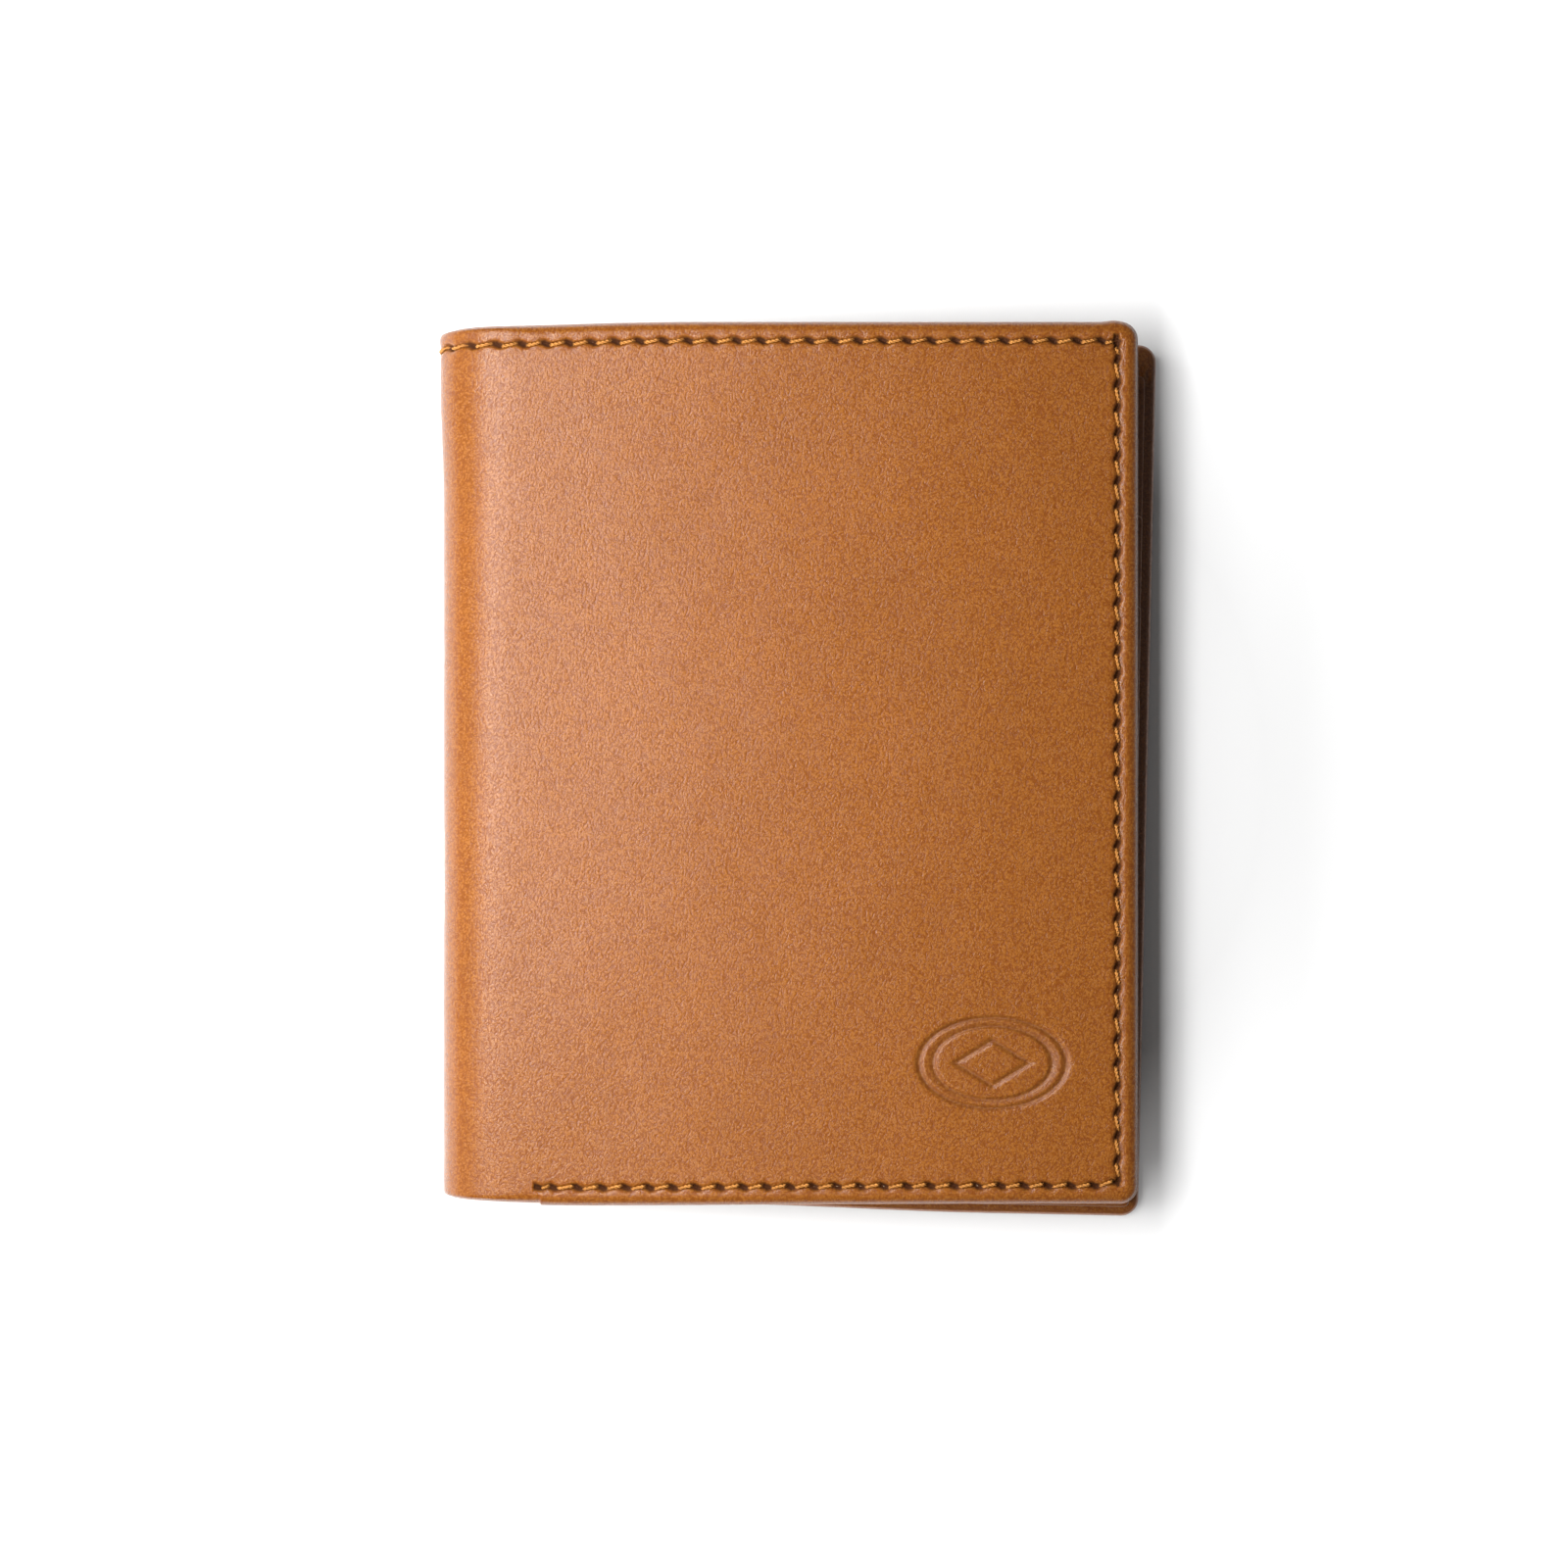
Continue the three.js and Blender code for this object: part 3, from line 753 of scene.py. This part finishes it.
LEAF_T = (BOTTOM + LEAF_INSET, TOP - LEAF_TOP_DROP)
LEAF_LINING_INSET, LEAF_LINING_DROP = 0.2, 0.3  # inside the leaf's own outline
LEAF_LINING_SPINE = 1
LEAF_CREASE_AT, LEAF_CREASE_WIDTH = 2.2, 0.28
leaf_lining_t = (LEAF_T[0] + LEAF_LINING_INSET, LEAF_T[1] - LEAF_LINING_DROP)
leaf_lining_ends = span(LEAF_INSET + LEAF_LINING_INSET)
leaf_linings = [
    lining_piece(name, Outline(s_span, leaf_lining_t, 0.8), LEAF_LINING)
    for name, s_span in (
        ("leaf_lining_front", (leaf_lining_ends[0], -LEAF_LINING_SPINE)),
        ("leaf_lining_back", (ARC + LEAF_LINING_SPINE, leaf_lining_ends[1])),
    )
]


def leaf_under(s, t, inset):
    """The leaf's face towards its lining."""
    return LEAF[0] + 0.02 * noise(s / 6, t / 6, 11), {}


def leaf_over(s, t, inset):
    """The leaf's inner face, with a line creased along its top edge and painted shade in the crease."""
    height = 0.03 * noise(s / 6, t / 6, 11) + 0.015 * noise(s / 1.4, t / 1.4, 12)
    crease = bell(LEAF_T[1] - t - LEAF_CREASE_AT, LEAF_CREASE_WIDTH)
    return LEAF[1] + height - 0.12 * crease, {"cavity": 0.3 * crease}


def leaf_sizes(s, t, inset, reach):
    size = spread(s, FINE, reach)
    size[inset < 0.8 + reach] = FINER
    size[np.abs(LEAF_T[1] - t - LEAF_CREASE_AT) < 0.5 + reach] = FINER / 2
    return size


LEAF_RIM = [(0.16, 0), (0.04, 0.15), (0, 0.4), (0, 0.6), (0.04, 0.85), (0.16, 1)]


def leaf_piece(name, outline):
    return sheet_piece(name, outline, leaf_under, leaf_over, LEAF_RIM, leaf_sizes, leaf_sizes)


leaf = thirds("leaf", span(LEAF_INSET), LEAF_T, 1, leaf_piece)

# ---------- card pockets ----------

POCKET_BASE, POCKET_PITCH, POCKET_RISE = 2.95, 1.2, 1.15
POCKET_SIDE = 1.6
POCKET_HELD = 0.3  # how much nearer the leaf a pocket lies where it is sewn down
POCKET_LINE_AT, POCKET_LINE_WIDTH, POCKET_LINE_DEPTH = 1.6, 0.22, 0.1


def pocket(length, is_front, index):
    """One card pocket: a panel held down along both sides and its foot, and open at the top."""
    opening = POCKET_OPENINGS[index]
    base = POCKET_BASE + POCKET_PITCH * index
    reach = length - LEAF_INSET
    s_span = (-reach, -POCKET_START) if is_front else (ARC + POCKET_START, ARC + reach)
    foot = LEAF_T[0]

    def held(s, t):
        """From 0 on the sewn borders to 1 where a card goes."""
        from_side = np.minimum(s - s_span[0], s_span[1] - s)
        return smooth((from_side - POCKET_SIDE) / 5) * smooth((t - foot - POCKET_SIDE) / 9)

    def visible(s, t, inset):
        line = bell(opening - t - POCKET_LINE_AT, POCKET_LINE_WIDTH)
        depth = base + POCKET_RISE - POCKET_HELD * (1 - held(s, t)) + 0.02 * noise(s / 5, t / 5, 20 + index)
        depth += 0.012 * noise(s / 1.4, t / 1.4, 30 + index) - POCKET_LINE_DEPTH * line
        # painted shade along the pressed line below the pocket's opening
        return depth, {"cavity": 0.35 * line}

    def hidden(s, t, inset):
        line = bell(opening - t - POCKET_LINE_AT, POCKET_LINE_WIDTH)
        solid = 1 - smooth(held(s, t) / 0.35)
        thick = POCKET_THICK + (POCKET_RISE - POCKET_HELD - POCKET_THICK) * solid
        return visible(s, t, inset)[0] + POCKET_LINE_DEPTH * line - thick, {}

    def sizes(s, t, inset, reach):
        size = np.full(s.shape, FINE)
        size[inset < 0.7 + reach] = FINER
        size[np.abs(opening - t - POCKET_LINE_AT) < 0.4 + reach] = FINER / 2
        return size

    rim = [(0.15, 0), (0.04, 0.15), (0, 0.4), (0, 0.6), (0.04, 0.85), (0.15, 1)]
    side = "front" if is_front else "back"
    outline = Outline(s_span, (foot, opening), 0.8)
    return sheet_piece(f"{side}_pocket_{index + 1}", outline, hidden, visible, rim, sizes, sizes)


halves = {"front": (FRONT_LENGTH, True), "back": (BACK_LENGTH, False)}
pockets = {side: [pocket(*halves[side], k) for k in range(len(POCKET_OPENINGS))] for side in halves}

# ---------- threads ----------


def flat_surface(depth):
    return lambda s, t: np.full(np.shape(s), float(depth))


def pocket_surface(s, t):
    """The face that the inner row of stitches lies on: the leaf, or the topmost pocket at that height."""
    depth = np.full(np.shape(s), LEAF[1])
    for index, opening in enumerate(POCKET_OPENINGS):
        face = POCKET_BASE + POCKET_PITCH * index + POCKET_RISE - POCKET_HELD
        depth = depth + (face - depth) * smooth((opening + 0.2 - t) / 0.9)
    return depth


on_top = SEAM[:, 1] > TOP - TOP_ROW - 0.01
top_holes = SEAM[on_top]
corners = np.nonzero(on_top)[0]
back_run = SEAM[: corners[0] + 1]
front_run = SEAM[corners[-1] :]
cut_points = (THIRD, 2 * THIRD)


def row_part(holes, low, high):
    """The stitches of a row whose middles lie between two places along s, as runs of holes."""
    middles = (holes[:-1, 0] + holes[1:, 0]) / 2
    inside = np.nonzero((middles >= low) & (middles < high))[0]
    return holes[inside[0] : inside[-1] + 2]


top_parts = {
    "back": row_part(top_holes, cut_points[1], 1e3),
    "middle": row_part(top_holes, *cut_points),
    "front": row_part(top_holes, -1e3, cut_points[0]),
}
side_runs = {"front": front_run, "back": back_run}
inner_runs = {"front": front_run[1:], "back": back_run[:-1]}
lock_runs = {
    "front_foot": front_run[::-1][:3],
    "front_corner": front_run[:2][::-1],
    "back_foot": back_run[:3][::-1],
    "back_corner": back_run[-2:][::-1],
}
POCKET_ROW = POCKET_START + 1
heights = np.arange(BOTTOM + BOTTOM_ROW + 0.5, LEAF_T[1] - 1, SIDE_PITCH)
pocket_runs = {
    side: np.stack([np.full(len(heights), s), heights], 1)
    for side, s in (("front", -POCKET_ROW), ("back", ARC + POCKET_ROW))
}


def rows(name, runs, surface, **look):
    """A row of stitches through each run of holes."""
    return {part: stitches(f"{name}_{part}", holes, surface, **look) for part, holes in runs.items()}


outer = flat_surface(0)
inner_look = {"lift": 0.06, "width": 0.42, "dive": 0.3, "sides": 6, "steps": 13, "flip": -1}
top_threads = rows("top_thread", top_parts, outer)
top_inner = rows("top_inner_thread", top_parts, flat_surface(HEM_BACK), **inner_look)
seam_threads = rows("seam_thread", side_runs, outer)
seam_inner = rows("seam_inner_thread", inner_runs, pocket_surface, **inner_look)
lock_stitches = rows("lock_stitch", lock_runs, outer, lift=0.22, width=0.4)
pocket_threads = rows("pocket_thread", pocket_runs, pocket_surface, **inner_look)

# ---------- materials ----------


class Shader:
    """A material's node tree, with short calls for its nodes."""

    def __init__(self, name):
        self.material = bpy.data.materials.new(name)
        self.material.use_nodes = True
        self.tree = self.material.node_tree
        self.surface = self.tree.nodes["Principled BSDF"]

    def node(self, kind, inputs=None, **settings):
        made = self.tree.nodes.new("ShaderNode" + kind)
        for key, value in settings.items():
            setattr(made, key, value)
        for key, value in (inputs or {}).items():
            self.put(made.inputs[key], value)
        return made

    def put(self, socket, value):
        if isinstance(value, bpy.types.NodeSocket):
            self.tree.links.new(value, socket)
        else:
            socket.default_value = value

    def math(self, operation, a, b=0.0):
        return self.node("Math", {0: a, 1: b}, operation=operation).outputs[0]

    def mix(self, factor, a, b, blend="MIX"):
        made = self.node("Mix", {0: factor}, data_type="RGBA", blend_type=blend)
        self.put(made.inputs[6], a)
        self.put(made.inputs[7], b)
        return made.outputs[2]

    def noise(self, where, scale, detail=3.0, roughness=0.55):
        keys = {"Vector": where, "Scale": scale, "Detail": detail, "Roughness": roughness}
        return self.node("TexNoise", keys).outputs["Fac"]

    def voronoi(self, where, scale, feature):
        keys = {"Vector": where, "Scale": scale, "Randomness": 1.0}
        return self.node("TexVoronoi", keys, feature=feature).outputs["Distance"]

    def ramp(self, value, low, high, to_low=0.0, to_high=1.0):
        keys = {"Value": value, "From Min": low, "From Max": high, "To Min": to_low, "To Max": to_high}
        return self.node("MapRange", keys).outputs[0]

    def flat_mm(self, stretch=(1, 1, 1), turn=0.0):
        """Where a point is on the flat sheet, in millimetres, turned and then stretched."""
        uv = self.node("UVMap", uv_map="flat").outputs[0]
        keys = {"Vector": uv, "Scale": tuple(k / UV_MM for k in stretch), "Rotation": (0, 0, turn)}
        return self.node("Mapping", keys, vector_type="TEXTURE").outputs[0]

    def attribute(self, name):
        return self.node("Attribute", attribute_name=name).outputs["Fac"]

    def bump(self, height, distance):
        return self.node("Bump", {"Height": height, "Distance": distance, "Strength": 1.0}).outputs[0]


def rgb(r, g, b):
    return (r, g, b, 1)


TAN, TAN_DARK, TAN_LIGHT = rgb(0.135, 0.0425, 0.003), rgb(0.05, 0.0145, 0.0012), rgb(0.152, 0.0485, 0.004)
GRAIN_TURN, GRAIN_STRETCH = math.radians(115), (0.85, 0.68, 1)
# grain colours: painted shade in its valleys and a painted highlight on its pebbles
GRAIN_VALLEY_SHADE, GRAIN_PEAK_HIGHLIGHT = rgb(0.085, 0.018, 0.0006), rgb(0.21, 0.085, 0.02)
# painted shade for holes, trenches and pressed lines; a dusty lip colour light enough to be a painted
# highlight
HOLE_SHADE, LIP_DUST_AND_HIGHLIGHT = rgb(0.03, 0.008, 0.0015), rgb(0.35, 0.22, 0.17)


def pebbled_grain(sh, where, fine):
    """Height of the leather's grain: domed pebbles of about half a millimetre with cracks between them."""
    wobble = sh.node("TexNoise", {"Vector": where, "Scale": 1.1, "Detail": 2.0}).outputs["Color"]
    bent = sh.node("VectorMath", {0: where, 1: wobble}, operation="ADD").outputs[0]
    pebbles = sh.voronoi(bent, 2.3, "F1")
    crack = sh.ramp(sh.voronoi(bent, 1.45, "DISTANCE_TO_EDGE"), 0.0, 0.16)
    dome = sh.math("SUBTRACT", 1.0, sh.math("POWER", sh.math("MULTIPLY", pebbles, 1.3), 2.0))
    grain = sh.math("ADD", sh.math("MULTIPLY", dome, 0.6), sh.math("MULTIPLY", crack, 0.2))
    return sh.math("ADD", grain, sh.math("MULTIPLY", fine, 0.2))


def leather(name, grain_depth, roughness):
    """Smooth tanned hide: fine grain and soft mottling, painted shade in its holes and creases, painted shade
    and highlight on its grain, and a dusty lip lightened as a painted highlight.
    """
    sh = Shader(name)
    where = sh.flat_mm(GRAIN_STRETCH, GRAIN_TURN)
    fine = sh.noise(where, 5.5, 4.0, 0.65)
    grain = pebbled_grain(sh, where, fine)
    cloudy = sh.noise(sh.flat_mm(), 0.045, 3.0)
    mottle = sh.noise(sh.flat_mm(), 0.35, 4.0, 0.6)
    cavity, lip_dust_and_highlight = sh.attribute("cavity"), sh.attribute("lip_dust_and_highlight")
    colour = sh.mix(sh.ramp(cloudy, 0.3, 0.7), TAN, TAN_LIGHT)
    colour = sh.mix(sh.ramp(mottle, 0.35, 0.75, 0.0, 0.14), colour, TAN_DARK)
    # painted shade in the grain's valleys, then a painted highlight on the pebbles' tops
    colour = sh.mix(sh.ramp(grain, 0.35, 0.75, 0.68, 0.0), colour, GRAIN_VALLEY_SHADE)
    colour = sh.mix(sh.ramp(grain, 0.6, 0.95, 0.0, 0.4), colour, GRAIN_PEAK_HIGHLIGHT)
    # painted shade in holes, trenches, pits, creases and pressed lines
    colour = sh.mix(sh.ramp(cavity, 0.0, 1.0, 0.0, 0.93), colour, HOLE_SHADE)
    # the lip: a dusty edge colour light enough to act as a painted highlight
    colour = sh.mix(sh.ramp(lip_dust_and_highlight, 0.0, 1.0, 0.0, 0.6), colour, LIP_DUST_AND_HIGHLIGHT)
    sh.put(sh.surface.inputs["Base Color"], colour)
    uneven = sh.math("ADD", fine, sh.math("MULTIPLY", mottle, 0.6))
    rough = sh.ramp(uneven, 0.4, 1.1, roughness - 0.06, roughness + 0.08)
    rough = sh.math("ADD", rough, sh.math("MULTIPLY", cavity, 0.7))
    sh.put(sh.surface.inputs["Roughness"], rough)
    sh.put(sh.surface.inputs["Normal"], sh.bump(grain, grain_depth))
    sh.surface.inputs["Specular IOR Level"].default_value = 0.45
    return sh.material


def thread(name, gold, dark):
    """Waxed two-ply thread, with the fibres of each ply, and painted shade at its ends and along each stitch.
    """
    sh = Shader(name)
    uv = sh.node("UVMap", uv_map="flat").outputs[0]
    lengthwise = sh.node("Mapping", {"Vector": uv, "Scale": (9, 26, 1)}).outputs[0]
    fibre = sh.noise(lengthwise, 1.6, 3.0)
    along = sh.node("SeparateXYZ", {0: uv}).outputs[0]
    end = sh.math("ABSOLUTE", sh.math("SUBTRACT", along, 0.5))
    colour = sh.mix(sh.ramp(fibre, 0.3, 0.7, 0.0, 0.5), gold, dark)
    # painted shade where the thread sinks into its holes
    colour = sh.mix(sh.ramp(end, 0.25, 0.4, 0.0, 0.95), colour, dark)
    # painted shade over the later part of each stitch
    colour = sh.mix(sh.ramp(along, 0.45, 0.85, 0.0, 0.4), colour, dark)
    sh.put(sh.surface.inputs["Base Color"], colour)
    sh.put(sh.surface.inputs["Roughness"], sh.ramp(fibre, 0.3, 0.7, 0.5, 0.7))
    sh.put(sh.surface.inputs["Normal"], sh.bump(fibre, 0.00005))
    sh.surface.inputs["Specular IOR Level"].default_value = 0.25
    return sh.material


def woven(name, light, dark, threads_per_mm=2.2):
    """Plain-woven lining: over-and-under threads in both directions."""
    sh = Shader(name)
    where = sh.flat_mm()
    part = sh.node("SeparateXYZ", {0: where}).outputs
    waves = [sh.math("SINE", sh.math("MULTIPLY", part[k], math.pi * threads_per_mm)) for k in (0, 1)]
    over = sh.ramp(sh.math("MULTIPLY", *waves), -1.0, 1.0)
    slub = sh.noise(sh.flat_mm(stretch=(6, 0.33, 1)), 1.0, 3.0)
    colour = sh.mix(sh.math("MULTIPLY", sh.math("ADD", over, slub), 0.5), dark, light)
    sh.put(sh.surface.inputs["Base Color"], colour)
    sh.put(sh.surface.inputs["Roughness"], sh.ramp(slub, 0.3, 0.7, 0.7, 0.9))
    sh.put(sh.surface.inputs["Normal"], sh.bump(over, 0.00006))
    sh.surface.inputs["Sheen Weight"].default_value = 0.2
    return sh.material


def cardboard(name):
    """Grey-brown board with flecks and pressed fibres."""
    sh = Shader(name)
    at = sh.node("TexCoord").outputs["Object"]
    where = sh.node("Mapping", {"Vector": at, "Scale": (1 / MM,) * 3}).outputs[0]
    fibre = sh.noise(where, 0.9, 6.0, 0.7)
    fleck = sh.ramp(sh.noise(where, 2.6, 2.0), 0.62, 0.7)
    colour = sh.mix(sh.ramp(fibre, 0.3, 0.7), rgb(0.24, 0.18, 0.12), rgb(0.34, 0.27, 0.19))
    colour = sh.mix(sh.math("MULTIPLY", fleck, 0.6), colour, rgb(0.08, 0.06, 0.045))
    sh.put(sh.surface.inputs["Base Color"], colour)
    sh.put(sh.surface.inputs["Roughness"], sh.ramp(fibre, 0.3, 0.7, 0.8, 0.95))
    sh.put(sh.surface.inputs["Normal"], sh.bump(fibre, 0.00008))
    return sh.material


outer_leather = leather("tan_leather", grain_depth=0.000034, roughness=0.23)
inner_leather = leather("inner_leather", grain_depth=0.00003, roughness=0.42)
gold_thread = thread("gold_thread", rgb(0.36, 0.155, 0.035), rgb(0.09, 0.028, 0.006))
lining_cloth = woven("lining_cloth", rgb(0.12, 0.075, 0.045), rgb(0.05, 0.03, 0.018))
board = cardboard("board")

# ---------- what moves with what, and what each piece stands for ----------


def finish_piece(piece, material, slot_name, nodes):
    piece.data.materials.append(material)
    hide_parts(*nodes)


BEND_MARGIN = 0.6


def bend(piece, which, depth):
    """Works out where the piece would turn round one hinge, over the third of the spine that the hinge is
    in the middle of. The spine leans a little, so a turn that starts or ends on its slope stops short of the
    next piece. Nothing is done with these ends: the piece's placing is only baked into its mesh."""
    start, end = (place(THIRD * k, 0, depth) for k in (which, which + 1))
    way = end - start
    way -= (way @ ALONG) * ALONG
    short = BEND_MARGIN * MM * way / np.linalg.norm(way)
    end = start + way - short * (which == 0)
    start = start + short * (which == 2)
    tuple(start)
    tuple(end)
    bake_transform(piece)


def across_spine(pieces, material, slot_name, ends, middles, depth):
    """Three pieces that lie round the spine's three hinges and stand for the CAD nodes there."""
    nodes = ([f"front_{ends}"], [f"spine_upper_{middles}", f"spine_lower_{middles}"], [f"back_{ends}"])
    for which, piece in enumerate(pieces):
        finish_piece(piece, material, slot_name, nodes[which])
        bend(piece, which, depth)


def in_order(parts):
    return [parts[key] for key in ("front", "middle", "back")]


across_spine(shell, outer_leather, "leather", "cover", "leather", HIDE)
across_spine(lining, lining_cloth, "lining", "lining", "lining", LINING[0])
across_spine(leaf, inner_leather, "leather", "leaf", "leaf", LEAF[0])
across_spine(in_order(top_threads), gold_thread, "thread", "top_thread", "top_thread", 0)
across_spine(in_order(top_inner), gold_thread, "thread", "top_bobbin_thread", "top_bobbin_thread", HEM_BACK)

for side, leaf_lining in zip(halves, leaf_linings):
    made = [
        (leaf_lining, lining_cloth, "lining", "leaf_lining"),
        (seam_threads[side], gold_thread, "thread", "seam_thread"),
        (seam_inner[side], gold_thread, "thread", "seam_bobbin_thread"),
        (pocket_threads[side], gold_thread, "thread", "pocket_thread"),
    ]
    for k, panel in enumerate(pockets[side]):
        made.append((panel, inner_leather, "leather", f"card_pocket_{k + 1}"))
    for where in ("foot", "corner"):
        made.append((lock_stitches[f"{side}_{where}"], gold_thread, "thread", None))
    for piece, material, slot_name, node in made:
        finish_piece(piece, material, slot_name, [f"{side}_{node}"] if node else [])
        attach(piece, f"{side}_half")
    stiffener = frame["nodes"][f"{side}_stiffener"]
    stiffener.data.materials.clear()
    stiffener.data.materials.append(board)


# ---------- floor, light and camera ----------

FLOOR_Z, FLOOR_HALF = -0.0005, 12.0
SHADE_AT, SHADE_REACH, GLOW_FROM = (0.012, 0, 0), 0.055, 0.16
GLOW = 0.9


def white_floor():
    """A floor that glows further out, so that only the part beside the wallet takes a shadow."""
    mesh = bpy.data.meshes.new("floor")
    corners = [(FLOOR_HALF * x, FLOOR_HALF * y, FLOOR_Z) for x, y in ((-1, -1), (1, -1), (1, 1), (-1, 1))]
    mesh.from_pydata(corners, [], [(0, 1, 2, 3)])
    obj = bpy.data.objects.new("floor", mesh)
    bpy.context.scene.collection.objects.link(obj)
    sh = Shader("floor_white")
    sh.surface.inputs["Base Color"].default_value = rgb(0.5, 0.5, 0.5)
    sh.surface.inputs["Roughness"].default_value = 0.9
    sh.surface.inputs["Emission Color"].default_value = rgb(1, 1, 1)
    position = sh.node("NewGeometry").outputs["Position"]
    reach = sh.node("VectorMath", {0: position, 1: SHADE_AT}, operation="DISTANCE").outputs["Value"]
    sh.put(sh.surface.inputs["Emission Strength"], sh.ramp(reach, SHADE_REACH, GLOW_FROM, 0.0, GLOW))
    sh.surface.inputs["Specular IOR Level"].default_value = 0.1
    mesh.materials.append(sh.material)


def strip_light(name, at, towards, size, power, glossy):
    """A strip light that lies along the wallet's height and leans towards it."""
    lamp = bpy.data.lights.new(name, "AREA")
    lamp.shape = "RECTANGLE"
    lamp.size, lamp.size_y = size
    lamp.energy = power
    obj = bpy.data.objects.new(name, lamp)
    obj.location = at
    way = np.array(towards) - np.array(at)
    obj.rotation_euler = (math.atan2(way[1], -way[2]), math.atan2(-way[0], -way[2]), 0)
    obj.visible_camera = False
    obj.visible_glossy = glossy
    bpy.context.scene.collection.objects.link(obj)


# name, where it hangs, what it leans towards, its size, its power, and whether it shows in reflections
LAMPS = (
    ("key", (-0.045, 0, 0.2135), (-0.12, 0, 0), (0.08, 0.3), 1.25, False),
    ("sheen", (-0.086, 0.07, 0.21), (-0.055, 0.04, 0), (0.03, 0.26), 0.45, True),
    ("slope", (-0.135, 0.03, 0.19), (-0.04, 0.01, 0), (0.08, 0.36), 0.2, True),
    ("left", (-0.24, 0, 0.1), (0, 0, 0), (0.12, 0.4), 1.5, False),
    ("rim", (-0.22, 0, 0.11), (0, 0, 0), (0.1, 0.4), 0.035, True),
    ("foot", (-0.1, -0.26, 0.15), (0, 0, 0), (0.3, 0.1), 0.26, False),
)
white_floor()
for lamp in LAMPS:
    strip_light(*lamp)

scene = bpy.context.scene
world = bpy.data.worlds.new("studio")
world.use_nodes = True
sky = world.node_tree.nodes["Background"].inputs
sky["Color"].default_value = rgb(1, 1, 1)
sky["Strength"].default_value = 0.2
scene.world = world
scene.view_settings.view_transform = "Standard"

CAMERA_ABOVE = 0.85
CAMERA_ASIDE = (-0.00227, -0.0021)
FRAME_WIDTH = 0.2219
SENSOR = 36
lens = bpy.data.cameras.new("camera")
lens.sensor_width = SENSOR
lens.lens = SENSOR * CAMERA_ABOVE / FRAME_WIDTH
camera = bpy.data.objects.new("camera", lens)
camera.location = (*CAMERA_ASIDE, 2 * RADIUS * MM + CAMERA_ABOVE)
scene.collection.objects.link(camera)
scene.camera = camera
